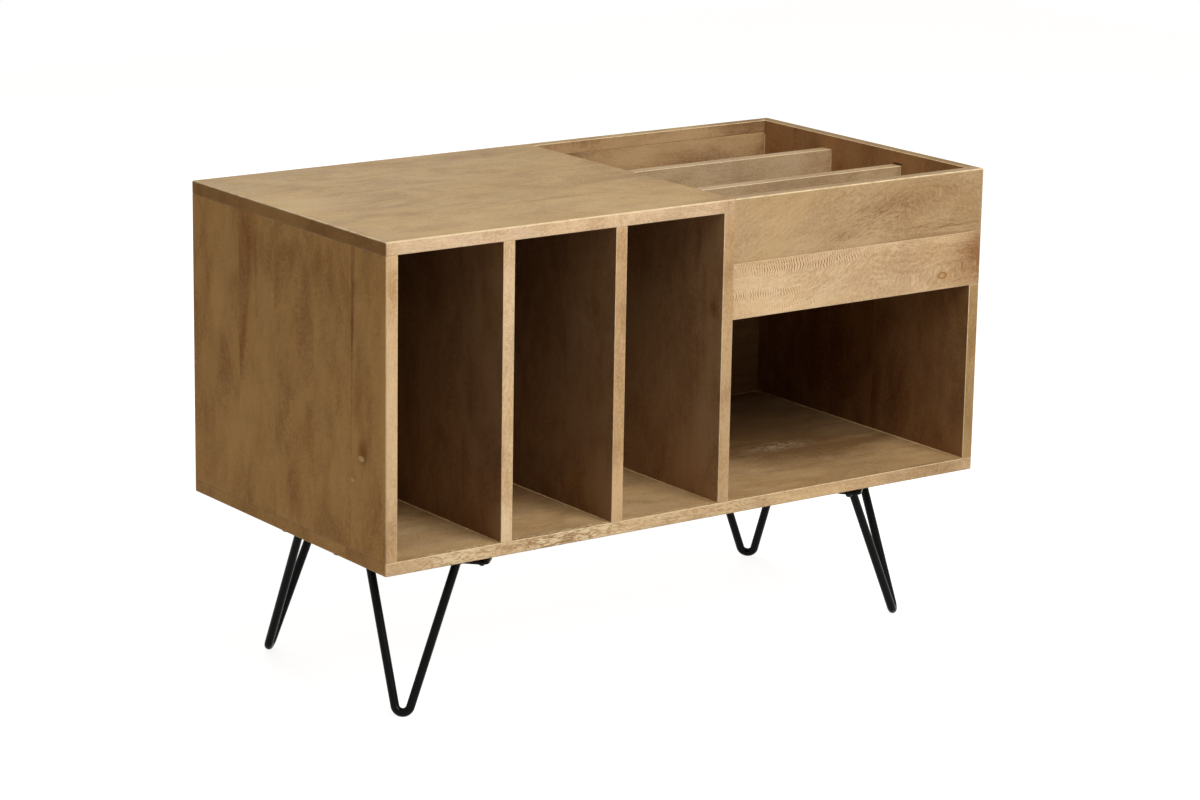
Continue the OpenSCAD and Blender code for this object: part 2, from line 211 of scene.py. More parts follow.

# "grain" names the turn into board axes, "joints" are the glue joints across the grain, and
# "front", "side", "top", "inside" and "bin" are the tones on the faces there: the stain with
# painted light and shade in it, darker inside the carcass. "shade" is how dark the figure gets, and
# "cloudy" how clouded the board is. Marks are (along, across, half length, half width, strength) in
# millimetres: "dark" ones, "dashes", "curl" for curly grain and "ripple" for fiddleback. A negative
# strength is paler. Some "dark" marks are painted shade deep in the slots and the cubby, and some
# paler ones painted light near their front. "wedges" are dark streaks with one crisp side along a
# glue joint: (joint, tip, base, width, strength). "knots" are (along, across, half length, half
# width), and "plugs" are knots that were filled, with how dark the wood round them is. "arches"
# are growth rings round a place: (along, across, stretch, ring, from, to, strength). "sweep"
# slants the grain between two places: (start, stop, slope, bend).
BOARDS = {
    "top_panel": dict(
        grain="along_x_across_y",
        front="#d3b591",
        side="#a97d48",
        joints=(-119, -25, 61, 154),
        cloudy=0.6,
        curl=((0, -250, 520, 14, 0.15),),
        dark=(
            (-60, 205, 420, 48, 0.25),
            (70, 20, 100, 260, 0.32),
            (-480, 20, 100, 120, -0.60),
            (-200, 5, 90, 10, 0.18),
            (-120, -20, 60, 7, 0.20),
            (-289, -85, 60, 9, 0.18),
            (-70, 60, 110, 6, 0.18),
            (-180, -250, 34, 10, 0.40),
            (50, -250, 50, 10, 0.25),
            (-80, -250, 160, 8, 0.15),
            (-504, -72, 20, 50, 0.45),
            (-504, -190, 20, 66, 0.32),
            (-504, 150, 16, 40, 0.20),
        ),
    ),
    "bottom_panel": dict(
        grain="along_x_across_y",
        front="#d0b087",
        inside="#ac8d64",
        shade=(0.52, 0.44, 0.37),
        joints=(-150, -62, 60, 148),
        cloudy=0.7,
        curl=(
            (-390, -252, 96, 24, 1.1),
            (-290, -252, 110, 24, 0.5),
            (-190, -252, 140, 24, 1.2),
            (20, -252, 240, 24, 0.55),
            (300, -50, 90, 30, 0.50),
        ),
        dark=(
            # The first mark paints shade at the back of the slots' floor, the second light along its
            # front, and the third and fourth paint shade at the back and middle of the cubby's floor
            (-200, 20, 340, 220, 1.60),
            (-200, -215, 330, 30, -0.25),
            (300, 70, 280, 270, 1.10),
            (360, -105, 240, 120, 0.60),
            (300, -52, 70, 14, -0.30),
            (318, -60, 14, 7, 0.80),
            (370, -46, 60, 9, 0.35),
            (280, -30, 60, 6, -0.25),
            (-250, -252, 30, 12, 0.35),
            (460, -90, 130, 26, 0.45),
            (430, -256, 130, 26, 0.85),
            (220, -70, 80, 6, 0.25),
            (390, -252, 26, 7, -0.45),
        ),
        dashes=((300, -60, 90, 26, -0.6), (-220, -180, 300, 60, -0.2)),
    ),
    "left_side": dict(
        grain="along_z_across_y",
        joints=(-163, -70, 28, 121),
        cloudy=0.8,
        shade=(0.48, 0.32, 0.19),
        wedges=((121, 380, 600, 50, 0.60), (-163, 340, 620, 10, 0.50)),
        dark=(
            (560, 76, 100, 6, 0.35),
            (590, 95, 60, 7, 0.25),
            (600, -203, 160, 24, 0.22),
            (540, -166, 110, 5, 0.40),
            (450, -180, 90, 20, 0.55),
            (461, -205, 60, 14, 0.22),
            (440, -242, 230, 10, -0.45),
            (590, -83, 44, 26, 0.25),
            (600, -150, 80, 26, 0.18),
            (610, 10, 50, 90, 0.18),
            (380, -195, 50, 20, 0.45),
            (283, -16, 50, 26, 0.50),
            (394, 165, 110, 22, 0.10),
            (355, 110, 100, 150, -0.35),
            (300, -225, 90, 40, 0.20),
            (270, 110, 44, 60, 0.20),
            (512, 180, 80, 28, -0.35),
            (491, 0, 85, 50, -0.30),
            (535, -208, 46, 14, -0.25),
            (339, -115, 70, 14, -0.22),
            (392, -63, 60, 16, 0.25),
            (297, -230, 55, 14, 0.25),
            (640, -252, 70, 7, 0.25),
        ),
        plugs=((369, -188, 4.6, 8.5, 1.0), (336, -167, 3, 5, 0.2)),
    ),
    "right_side": dict(
        grain="along_z_across_y",
        front="#a6865a",
        top="#8c7048",
        inside="#8e6843",
        bin="#ad8154",
        joints=(-140, -40, 60, 160),
        # The first mark paints shade on the inside of the right side, darkest at the back of the
        # cubby
        dark=((330, 60, 330, 280, 0.85), (300, -95, 80, 60, 0.30), (470, -180, 60, 60, 0.30)),
    ),
    "middle_upright": dict(
        grain="along_z_across_y",
        front="#bb9a72",
        inside="#a17c56",
        joints=(-128, -20, 80, 170),
        dark=(
            (600, -190, 60, 9, 0.40),
            (500, -205, 90, 7, 0.40),
            (400, -195, 80, 6, 0.30),
            # These two paint light low on the board near its front, where light falls into the slot
            (320, -200, 110, 70, -0.45),
            (250, -215, 40, 40, -0.30),
            (519, -228, 20, 13, 0.90),
            (505, -236, 14, 8, 0.50),
        ),
    ),
    "slot_divider_left": dict(
        grain="along_z_across_y",
        front="#d6b78f",
        inside="#8f6c4a",
        joints=(-152, -50, 45, 140),
        # The first two marks paint light near the front, low and high, where light falls into the
        # slot
        dark=((262, -238, 40, 34, -0.6), (590, -240, 60, 22, -0.3), (310, -252, 170, 8, 0.30)),
    ),
    "slot_divider_right": dict(
        grain="along_z_across_y",
        front="#c29e74",
        inside="#8c6a48",
        joints=(-137, -30, 70, 165),
        # The first mark paints light low near the front, where light falls into the slot
        dark=((285, -225, 70, 50, -0.8), (330, -252, 120, 8, 0.40)),
    ),
    "back_panel": dict(
        grain="along_x_across_z",
        bin="#a88862",
        joints=(330, 425, 520, 600),
        cloudy=0.7,
        dark=(
            (400, 610, 110, 60, 0.35),
            (490, 610, 50, 70, 0.45),
            (240, 632, 80, 24, -0.60),
            (310, 642, 90, 14, -0.50),
            (330, 612, 60, 14, 0.30),
            (110, 640, 60, 30, 0.30),
        ),
    ),
    "bin_back_rail": dict(
        grain="along_x_across_z",
        bin="#a88862",
        joints=(),
        cloudy=0.9,
        dark=((430, 650, 110, 60, 0.35), (490, 650, 50, 70, 0.35), (310, 650, 120, 16, -0.50)),
    ),
    "bin_floor": dict(grain="along_x_across_y", joints=(-110, 0, 110)),
    "bin_front_upper_plank": dict(
        grain="along_x_across_z",
        front="#b1936c",
        top="#9a815e",
        joints=(),
        cloudy=0.3,
        sweep=(56, 430, 0.62, -0.72),
        dark=(
            (120, 620, 110, 60, -0.10),
            (150, 590, 110, 16, -0.20),
            (390, 630, 130, 60, 0.22),
            (480, 610, 50, 60, 0.20),
            (410, 577, 130, 6, 0.42),
            (450, 588, 80, 3, 0.45),
            (380, 592, 60, 3, 0.30),
            (276, 583, 40, 8, -0.20),
            (252, 592, 60, 8, 0.18),
            (320, 628, 60, 12, 0.22),
        ),
        dashes=(
            (300, 622, 100, 50, 0.65),
            (250, 594, 70, 16, 0.5),
            (430, 590, 120, 24, 0.55),
            (130, 600, 120, 60, -0.35),
            (420, 640, 90, 30, 0.3),
        ),
    ),
    "bin_front_lower_plank": dict(
        grain="along_x_across_z",
        front="#ccad86",
        joints=(),
        cloudy=0.35,
        sweep=(148, 300, 0.0, 2.5),
        dark=(
            (150, 505, 170, 20, -0.25),
            (110, 525, 90, 60, -0.40),
            (400, 540, 150, 70, 0.33),
            (490, 540, 60, 80, 0.55),
            (500, 545, 26, 80, 0.30),
            (330, 575, 60, 6, -0.25),
            (440, 570, 60, 5, -0.15),
            (430, 560, 70, 4, 0.20),
        ),
        dashes=((190, 540, 150, 60, -0.4), (330, 570, 70, 12, -0.4), (400, 535, 130, 70, -0.3)),
        ripple=((170, 563, 190, 16, 1.9), (100, 528, 130, 11, 1.9), (150, 508, 90, 8, 1.3)),
        knots=((430, 517, 7, 4),),
        arches=((400, 502, 2.0, 6, 34, 72, 0.04),),
    ),
    "bin_divider_front": dict(grain="along_x_across_z", bin="#ac9270", cloudy=0.6, joints=(580,)),
    "bin_divider_rear": dict(grain="along_x_across_z", bin="#ac9270", cloudy=0.6, joints=(575,)),
}

# Where the boards stand, how far from a broken edge another board is looked for, and how much
# an edge has to lean towards a side for a board there to count
BOARD_BOXES = [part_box(node) for node in BOARDS]
JOINT_PROBE = 3 * MM
JOINT_LEAN = 0.2


# ----------------------------------------------------------------------------------------
# Materials

# Kinds of node that the patterns use again and again
MATH = "ShaderNodeMath"
VECTOR_MATH = "ShaderNodeVectorMath"
MAP_RANGE = "ShaderNodeMapRange"
MIX = "ShaderNodeMix"
SPLIT = "ShaderNodeSeparateXYZ"
JOIN = "ShaderNodeCombineXYZ"
# The middle of a noise's colour
GREY = (0.5, 0.5, 0.5)
WHITE = (1, 1, 1, 1)


def add(tree, kind, links=None, **settings):
    """Adds a node with its settings, and sets or links its inputs."""
    made = tree.nodes.new(kind)
    for name, value in settings.items():
        setattr(made, name, value)
    for key, value in (links or {}).items():
        socket = made.inputs[key] if isinstance(key, int) else next(
            s for s in made.inputs if s.enabled and s.name == key
        )
        if isinstance(value, bpy.types.Node):
            value = next(s for s in value.outputs if s.enabled)
        if isinstance(value, bpy.types.NodeSocket):
            tree.links.new(value, socket)
        else:
            socket.default_value = value
    return made


def per_mm(*sizes):
    """The scale that makes a pattern of these sizes, in millimetres, out of metres."""
    return tuple(1 / (size * MM) for size in sizes)


def rgba(colour):
    return (*colour, 1.0)


def new_material(name):
    material = bpy.data.materials.new(name)
    material.use_nodes = True
    material.node_tree.nodes.clear()
    return material, material.node_tree


def uneven(tree, place, sizes, detail, roughness=0.55, distortion=0.0):
    """Unevenness whose features have about these sizes in millimetres along X, Y and Z."""
    scaled = add(tree, VECTOR_MATH, {0: place, 1: per_mm(*sizes)}, operation="MULTIPLY")
    kind = {"Scale": 1.0, "Detail": detail, "Roughness": roughness, "Distortion": distortion}
    return add(tree, "ShaderNodeTexNoise", {"Vector": scaled, **kind})


def shifted(tree, place, sizes, detail, reach):
    """A place moved about by up to these lengths in metres, over features of these sizes."""
    moves = uneven(tree, place, sizes, detail).outputs["Color"]
    centred = add(tree, VECTOR_MATH, {0: moves, 1: GREY}, operation="SUBTRACT")
    return add(tree, VECTOR_MATH, {0: centred, 1: reach, 2: place}, operation="MULTIPLY_ADD")


def off_middle(tree, value, middle):
    """How far a value is from a middle, either way."""
    off = add(tree, MATH, {0: value, 1: middle}, operation="SUBTRACT")
    return add(tree, MATH, {0: off}, operation="ABSOLUTE")


def oval_distance(tree, place, along, across, length, width):
    """How far a place is from a spot on a board, where 1 is the rim of an oval round it."""
    centre = (along * MM, across * MM, 0)
    away = add(tree, VECTOR_MATH, {0: place, 1: centre}, operation="SUBTRACT")
    away = add(tree, VECTOR_MATH, {0: away, 1: (*per_mm(length, width), 0)}, operation="MULTIPLY")
    return add(tree, VECTOR_MATH, {0: away}, operation="LENGTH")


def waves(tree, distance, pitch):
    """Waves with a pitch in millimetres along a distance in metres."""
    turn = add(tree, MATH, {0: distance, 1: math.tau * per_mm(pitch)[0]}, operation="MULTIPLY")
    return add(tree, MATH, {0: turn}, operation="SINE")


def ripple_bars(tree, place, bent):
    """Fiddleback: waving fibres, seen as rows of short bars across the grain."""
    across = add(tree, SPLIT, {0: bent}).outputs["Y"]
    rows = add(tree, MATH, {0: across, 1: per_mm(ROW_HEIGHT)[0]}, operation="MULTIPLY")
    row = add(tree, MATH, {0: rows}, operation="FLOOR")
    in_row = add(tree, MATH, {0: rows}, operation="FRACT")
    off_row = off_middle(tree, in_row, 0.5)
    fade = {"From Min": 0.36, "From Max": 0.5}
    tall = add(tree, MAP_RANGE, {"Value": off_row, **fade, "To Min": 1.0, "To Max": 0.0})
    start = add(tree, "ShaderNodeTexWhiteNoise", {"W": row}, noise_dimensions="1D").outputs["Value"]
    along = add(tree, SPLIT, {0: place}).outputs["X"]
    turn = add(tree, MATH, {0: along, 1: per_mm(BAR_PITCH)[0], 2: start}, operation="MULTIPLY_ADD")
    # The bars lean, and don't keep their pitch quite
    turn = add(tree, MATH, {0: in_row, 1: BAR_LEAN, 2: turn}, operation="MULTIPLY_ADD")
    wander = uneven(tree, place, (28, 12, 12), 1)
    turn = add(tree, MATH, {0: wander, 1: BAR_WANDER, 2: turn}, operation="MULTIPLY_ADD")
    turn = add(tree, MATH, {0: turn, 1: math.tau}, operation="MULTIPLY")
    bars = add(tree, MATH, {0: turn}, operation="SINE")
    patches = uneven(tree, bent, (44, 9, 9), 2)
    shown = add(tree, MAP_RANGE, {"Value": patches, **fade})
    bars = add(tree, MATH, {0: bars, 1: shown}, operation="MULTIPLY")
    return add(tree, MATH, {0: bars, 1: tall}, operation="MULTIPLY")


def hardwood_figure():
    """Node group with the figure of plain-sawn stained hardwood at a place in board axes."""
    tree = bpy.data.node_groups.new("hardwood_figure", "ShaderNodeTree")
    for way, kind, names in (
        ("INPUT", "NodeSocketVector", ("Place",)),
        ("INPUT", "NodeSocketFloat", ("Stave", "Darker", "Ripple", "Cloudy", "Dashes")),
        ("INPUT", "NodeSocketColor", ("Shade", "Stain", "Pore")),
        ("OUTPUT", "NodeSocketColor", ("Colour",)),
        ("OUTPUT", "NodeSocketFloat", ("Roughness", "Height")),
    ):
        for name in names:
            tree.interface.new_socket(name, in_out=way, socket_type=kind)
    given = add(tree, "NodeGroupInput").outputs

    # Each stave is cut from another place in the log
    dice = add(tree, "ShaderNodeTexWhiteNoise", {"W": given["Stave"]}, noise_dimensions="1D")
    jump = add(tree, VECTOR_MATH, {0: dice.outputs["Color"], 1: LOG_REACH}, operation="MULTIPLY")
    place = add(tree, VECTOR_MATH, {0: given["Place"], 1: jump}, operation="ADD")

    # The grain wanders slowly across the board
    bent = shifted(tree, place, (170, 65, 65), 1.5, (0, 0.08, 0.08))
    streaks = uneven(tree, bent, (150, 20, 20), 3, 0.5)
    fibres = uneven(tree, bent, (22, 2.6, 2.6), 3, 0.6)
    flecks = uneven(tree, bent, (4.5, 2.8, 2.8), 3, 0.75)
    clouds = uneven(tree, place, (105, 62, 62), 3, 0.5, 0.8)
    mottle = uneven(tree, place, (30, 20, 20), 4, 0.6, 0.4)
    dashes = uneven(tree, bent, (21, 3, 3), 2, 0.6)
    # Real pores are 0.2 mm wide: these are as coarse as a picture of the whole stand can show
    pores = uneven(tree, bent, (8, 1.0, 1.0), 1)

    # Growth rings are cylinders round a pith that rises slowly along the board, so they arch
    parts = add(tree, SPLIT, {0: bent})
    rise = {0: parts.outputs["X"], 1: PITH_RISE, 2: parts.outputs["Z"]}
    depth = add(tree, MATH, rise, operation="MULTIPLY_ADD")
    ring_place = add(tree, JOIN, {"X": 0.0, "Y": parts.outputs["Y"], "Z": depth})
    radius = add(tree, VECTOR_MATH, {0: ring_place}, operation="LENGTH")
    rings = waves(tree, radius, RING_SPACING)

    dashes = add(tree, MAP_RANGE, {"Value": dashes, "From Min": 0.5, "From Max": 0.64})
    dashes = add(tree, MATH, {0: dashes, 1: given["Dashes"]}, operation="MULTIPLY")
    bars = ripple_bars(tree, place, bent)
    ripple = add(tree, MATH, {0: bars, 1: given["Ripple"]}, operation="MULTIPLY")

    # The figure adds up round 0: below it the stain is darker, above it lighter
    own = {0: dice.outputs["Value"], 1: 2 * STAVE_STEP, 2: -STAVE_STEP}
    total = add(tree, MATH, own, operation="MULTIPLY_ADD")
    for part, weight in ((clouds, 2.1), (mottle, 0.8)):
        level = add(tree, MATH, {0: part, 1: 0.5}, operation="SUBTRACT")
        level = add(tree, MATH, {0: level, 1: given["Cloudy"]}, operation="MULTIPLY")
        total = add(tree, MATH, {0: level, 1: weight, 2: total}, operation="MULTIPLY_ADD")
    for part, weight in ((streaks, 0.5), (fibres, 0.45), (flecks, 1.5)):
        level = add(tree, MATH, {0: part, 1: 0.5}, operation="SUBTRACT")
        total = add(tree, MATH, {0: level, 1: weight, 2: total}, operation="MULTIPLY_ADD")
    for part, weight in ((rings, 0.04), (ripple, 0.6)):
        total = add(tree, MATH, {0: part, 1: weight, 2: total}, operation="MULTIPLY_ADD")
    for part in (dashes, given["Darker"]):
        total = add(tree, MATH, {0: total, 1: part}, operation="SUBTRACT")

    low = add(tree, MAP_RANGE, {"Value": total, "From Min": -1.0, "From Max": 0.05})
    high = add(tree, MAP_RANGE, {"Value": total, "From Min": -0.05, "From Max": 0.6})
    gain = add(tree, MIX, {"Factor": low, "A": given["Shade"], "B": WHITE}, data_type="RGBA")
    gain = add(tree, MIX, {"Factor": high, "A": gain, "B": rgba(FIGURE_LIGHT)}, data_type="RGBA")
    # Some places are a little yellower, others a little greyer
    warmth = uneven(tree, place, (120, 70, 70), 3)
    tint = add(tree, MAP_RANGE, {"Value": warmth, "From Min": 0.35, "From Max": 0.65})
    tint = add(
        tree, MIX, {"Factor": tint, "A": rgba(TINT_WARM), "B": rgba(TINT_GREY)}, data_type="RGBA"
    )
    colour = given["Stain"]
    for change in (gain, tint):
        colour = add(
            tree,
            MIX,
            {"Factor": 1.0, "A": colour, "B": change},
            data_type="RGBA",
            blend_type="MULTIPLY",
        )
    pits = add(tree, MAP_RANGE, {"Value": pores, "From Min": 0.6, "From Max": 0.75, "To Max": 0.3})
    colour = add(tree, MIX, {"Factor": pits, "A": colour, "B": given["Pore"]}, data_type="RGBA")
    satin = {"From Min": 0.2, "From Max": 0.8, "To Min": 0.55, "To Max": 0.68}
    gloss = add(tree, MAP_RANGE, {"Value": mottle, **satin})
    height = add(tree, MATH, {0: fibres, 1: 0.5, 2: ripple}, operation="MULTIPLY_ADD")
    height = add(tree, MATH, {0: height, 1: pits}, operation="SUBTRACT")
    add(tree, "NodeGroupOutput", {"Colour": colour, "Roughness": gloss, "Height": height})
    return tree


def mark_sum(tree, place, marks):
    """The sum of soft-edged oval marks at a place in board axes."""
    total = 0.0
    for *oval, strength in marks:
        mark = add(
            tree,
            MAP_RANGE,
            {"Value": oval_distance(tree, place, *oval), "To Min": strength, "To Max": 0.0},
            interpolation_type="SMOOTHSTEP",
        )
        total = add(tree, MATH, {0: mark, 1: total}, operation="ADD")
    return total


def wedge_sum(tree, place, ragged, wedges):
    """The sum of dark wedges: crisp along a glue joint, ragged on the other side."""
    total = 0.0
    crisp_across = add(tree, SPLIT, {0: place}).outputs["Y"]
    parts = add(tree, SPLIT, {0: ragged}).outputs
    for joint, tip, base, width, strength in wedges:
        before = add(tree, MATH, {0: crisp_across, 1: joint * MM}, operation="LESS_THAN")
        start = {"Value": parts["X"], "From Min": tip * MM}
        widths = {"From Max": base * MM, "To Min": 0.5 * MM, "To Max": width * MM}
        wide = add(tree, MAP_RANGE, {**start, **widths})
        away = add(tree, MATH, {0: joint * MM, 1: parts["Y"]}, operation="SUBTRACT")
        share = add(tree, MATH, {0: away, 1: wide}, operation="DIVIDE")
        mark = add(
            tree,
            MAP_RANGE,
            {"Value": share, "From Min": 0.5, "From Max": 1.1, "To Min": strength, "To Max": 0.0},
            interpolation_type="SMOOTHSTEP",
        )
        from_tip = add(tree, MAP_RANGE, {**start, "From Max": (tip + TIP_FADE) * MM})
        mark = add(tree, MATH, {0: mark, 1: from_tip}, operation="MULTIPLY")
        total = add(tree, MATH, {0: mark, 1: before, 2: total}, operation="MULTIPLY_ADD")
    return total


def knot_colour(tree, place, colour, knots, tones):
    """Draws knots over a colour: a thin dark rim in a faint halo, round a paler heart."""
    for knot in knots:
        distance = oval_distance(tree, place, *knot)
        off_rim = off_middle(tree, distance, 1.0)
        rim_fade = {"From Max": 0.45, "To Min": 0.85, "To Max": 0.0}
        rim = add(tree, MAP_RANGE, {"Value": off_rim, **rim_fade})
        halo_fade = {"From Max": 2.4, "To Min": 0.2, "To Max": 0.0}
        halo = add(tree, MAP_RANGE, {"Value": distance, **halo_fade})
        depth = add(tree, MATH, {0: rim, 1: halo}, operation="ADD")
        colour = add(
            tree, MIX, {"Factor": depth, "A": colour, "B": rgba(tones.knot)}, data_type="RGBA"
        )
    return colour


def plug_colour(tree, place, colour, plugs, tones):
    """Draws small knots that were filled: a pale spot in a brown halo."""
    for along, across, length, width, stain in plugs:
        # The halo trails along the grain
        trail = (along + 2 * length, across - width / 2, 5 * length, 2 * width)
        from_halo = oval_distance(tree, place, *trail)
        halo = add(
            tree,
            MAP_RANGE,
            {"Value": from_halo, "From Min": 0.2, "To Min": stain, "To Max": 0.0},
            interpolation_type="SMOOTHSTEP",
        )
        colour = add(
            tree, MIX, {"Factor": halo, "A": colour, "B": rgba(tones.knot)}, data_type="RGBA"
        )
        from_spot = oval_distance(tree, place, along, across, length, width)
        rim = {"From Min": 0.6, "From Max": 1.0, "To Min": 0.95, "To Max": 0.0}
        spot = add(tree, MAP_RANGE, {"Value": from_spot, **rim})
        colour = add(
            tree, MIX, {"Factor": spot, "A": colour, "B": rgba(tones.filler)}, data_type="RGBA"
        )
    return colour


def arch_sum(tree, place, arches):
    """The sum of growth rings that arch round some places in board axes."""
    total = 0.0
    for along, across, stretch, ring, inner, outer, strength in arches:
        # A distance in metres, with the rings stretched along the grain
        distance = oval_distance(tree, place, along, across, stretch / MM, 1 / MM)
        off_band = off_middle(tree, distance, (inner + outer) / 2 * MM)
        half_band = (outer - inner) / 2 * MM
        band = add(
            tree,
            MAP_RANGE,
            {"Value": off_band, "From Max": half_band, "To Min": strength, "To Max": 0.0},
            interpolation_type="SMOOTHSTEP",
        )
        rings = waves(tree, distance, ring)
        total = add(tree, MATH, {0: rings, 1: band, 2: total}, operation="MULTIPLY_ADD")
    return total


def swept(tree, place, start, stop, slope, bend):
    """Slants the grain from start to stop along a board, by a slope that changes with the bend."""
    along = add(tree, SPLIT, {0: place}).outputs["X"]
    ends = {"From Min": start * MM, "From Max": stop * MM, "To Max": (stop - start) * MM}
    way = add(tree, MAP_RANGE, {"Value": along, **ends})
    rise = add(tree, MATH, {0: way, 1: -bend, 2: -slope}, operation="MULTIPLY_ADD")
    rise = add(tree, MATH, {0: rise, 1: way}, operation="MULTIPLY")
    move = add(tree, JOIN, {"X": 0.0, "Y": rise, "Z": 0.0})
    return add(tree, VECTOR_MATH, {0: place, 1: move}, operation="ADD")


def curl_threads(tree, place, curl):
    """Curly grain, fine threads that run all ways: how pale and how dark they are at a place. The
    pale threads are partly a painted glint.
    """
    level = uneven(tree, place, (15, 3.1, 3.1), 2, 0.5, 1.4)
    shown = mark_sum(tree, place, curl)
    threads = []
    for low, high, strength in ((0.49, 0.56, 1.0), (0.47, 0.4, 0.6)):
        edges = {"From Min": low, "From Max": high, "To Max": strength}
        thread = add(tree, MAP_RANGE, {"Value": level, **edges})
        threads.append(add(tree, MATH, {0: thread, 1: shown}, operation="MULTIPLY"))
    return threads


def stained_hardwood(node, spec, figure, sizes, tones):
    """Mango-type hardwood, glued up from staves, stained and lacquered satin.

    It gives warm staves of slightly different tone, streaks along the grain, cloudy patches
    where the stain took unevenly, fine dark pores and paler edges, partly sanded back and partly
    painted highlight. The tone on each face comes with painted light and shade, and the pale curly
    threads are partly painted glint.
    """
    material, tree = new_material("stained_hardwood_" + node)
    source = add(tree, "ShaderNodeTexCoord").outputs["Object"]
    place = add(
        tree, "ShaderNodeMapping", {"Vector": source, "Rotation": GRAIN_TURNS[spec["grain"]]}
    )
    across = add(tree, SPLIT, {0: place}).outputs["Y"]
    stave = sizes.seed + 10 * list(BOARDS).index(node) + 0.5
    for joint in spec["joints"]:
        past = add(tree, MATH, {0: across, 1: joint * MM}, operation="GREATER_THAN")
        stave = add(tree, MATH, {0: past, 1: stave}, operation="ADD")

    # Marks have ragged edges, drawn out along the grain, and growth rings waver a little
    ragged = shifted(tree, place, (40, 9, 9), 3, (0.05, 0.012, 0))
    wavering = shifted(tree, place, (30, 14, 14), 2, (0.012, 0.008, 0))
    wedges = wedge_sum(tree, place, ragged, spec.get("wedges", ()))
    rings = arch_sum(tree, wavering, spec.get("arches", ()))
    glinting_pale_threads, dark_threads = curl_threads(tree, place, spec.get("curl", ()))
    darker = mark_sum(tree, ragged, spec.get("dark", ()))
    for part in (wedges, rings, dark_threads):
        darker = add(tree, MATH, {0: darker, 1: part}, operation="ADD")
    wood = add(
        tree,
        "ShaderNodeGroup",
        {
            "Place": swept(tree, place, *spec["sweep"]) if "sweep" in spec else place,
            "Stave": stave,
            "Darker": darker,
            "Ripple": mark_sum(tree, ragged, spec.get("ripple", ())),
            "Cloudy": spec.get("cloudy", 0.7),
            "Dashes": mark_sum(tree, ragged, spec.get("dashes", ())),
            "Shade": rgba(spec.get("shade", FIGURE_DARK)),
            # The tone per face: the stain with painted light and shade in it
            "Stain": add(tree, "ShaderNodeAttribute", attribute_name="stain").outputs["Color"],
            "Pore": rgba(tones.pore),
        },
        node_tree=figure,
    )
    # The pale threads turn towards the sanded tone: curly figure, partly a painted glint
    colour = add(
        tree,
        MIX,
        {"Factor": glinting_pale_threads, "A": wood.outputs["Colour"], "B": rgba(tones.sanded)},
        data_type="RGBA",
    )
    colour = knot_colour(tree, place, colour, spec.get("knots", ()), tones)
    colour = plug_colour(tree, place, colour, spec.get("plugs", ()), tones)
    # Pale broken edges: partly sanding wear, partly a painted highlight on the edges that face the
    # light
    arris = add(tree, "ShaderNodeAttribute", attribute_name="arris").outputs["Fac"]
    patches = uneven(tree, place, (14, 14, 14), 3)
    patchy = {"From Min": 0.35, "From Max": 0.6, "To Min": 0.5, "To Max": 1.0}
    pale_patches = add(tree, MAP_RANGE, {"Value": patches, **patchy})
    worn_and_lit = add(tree, MATH, {0: arris, 1: pale_patches}, operation="MULTIPLY")
    colour = add(
        tree, MIX, {"Factor": worn_and_lit, "A": colour, "B": rgba(tones.sanded)}, data_type="RGBA"
    )
    relief = {"Strength": 0.35, "Distance": 0.15 * MM}
    bump = add(tree, "ShaderNodeBump", {"Height": wood.outputs["Height"], **relief})
    looks = {"Base Color": colour, "Roughness": wood.outputs["Roughness"], "Normal": bump}
    shader = add(tree, "ShaderNodeBsdfPrincipled", {**looks, "IOR": 1.5, "Specular IOR Level": 0.1})
    add(tree, "ShaderNodeOutputMaterial", {"Surface": shader})
    return material


def plain_wood(name, colour, dark, grain, saw_marks):
    """Unstained wood: streaks along the grain, and the bars that a saw leaves across it."""
    material, tree = new_material(name)
    place = add(tree, "ShaderNodeTexCoord").outputs["Object"]
    streaks = uneven(tree, place, grain, 4)
    fibres = uneven(tree, place, (6, 6, 1.2), 2)
    mixed = add(tree, MATH, {0: streaks, 1: fibres}, operation="MULTIPLY")
    level = add(tree, MAP_RANGE, {"Value": mixed, "From Min": 0.12, "From Max": 0.4})
    tone = add(tree, MIX, {"Factor": level, "A": rgba(dark), "B": rgba(colour)}, data_type="RGBA")
    bars = uneven(tree, place, saw_marks, 1)
    bump = add(tree, "ShaderNodeBump", {"Height": bars, "Strength": 0.5, "Distance": 0.3 * MM})
    looks = {"Base Color": tone, "Roughness": 0.75, "Normal": bump, "Specular IOR Level": 0.3}
    shader = add(tree, "ShaderNodeBsdfPrincipled", looks)
    add(tree, "ShaderNodeOutputMaterial", {"Surface": shader})
    return material


def wood_filler(tones):
    """Smeared wood filler, sanded flush: pale, dull and slightly blotched with stain."""
    material, tree = new_material("smeared_wood_filler")
    place = add(tree, "ShaderNodeTexCoord").outputs["Object"]
    blotch = uneven(tree, place, (18, 18, 18), 3)
    level = add(tree, MAP_RANGE, {"Value": blotch, "From Min": 0.38, "From Max": 0.62})
    stained = rgba([0.7 * part for part in tones.filler])
    colour = add(
        tree, MIX, {"Factor": level, "A": stained, "B": rgba(tones.filler)}, data_type="RGBA"
    )
    looks = {"Base Color": colour, "Roughness": 0.7, "Specular IOR Level": 0.1}
    shader = add(tree, "ShaderNodeBsdfPrincipled", looks)
    add(tree, "ShaderNodeOutputMaterial", {"Surface": shader})
    return material


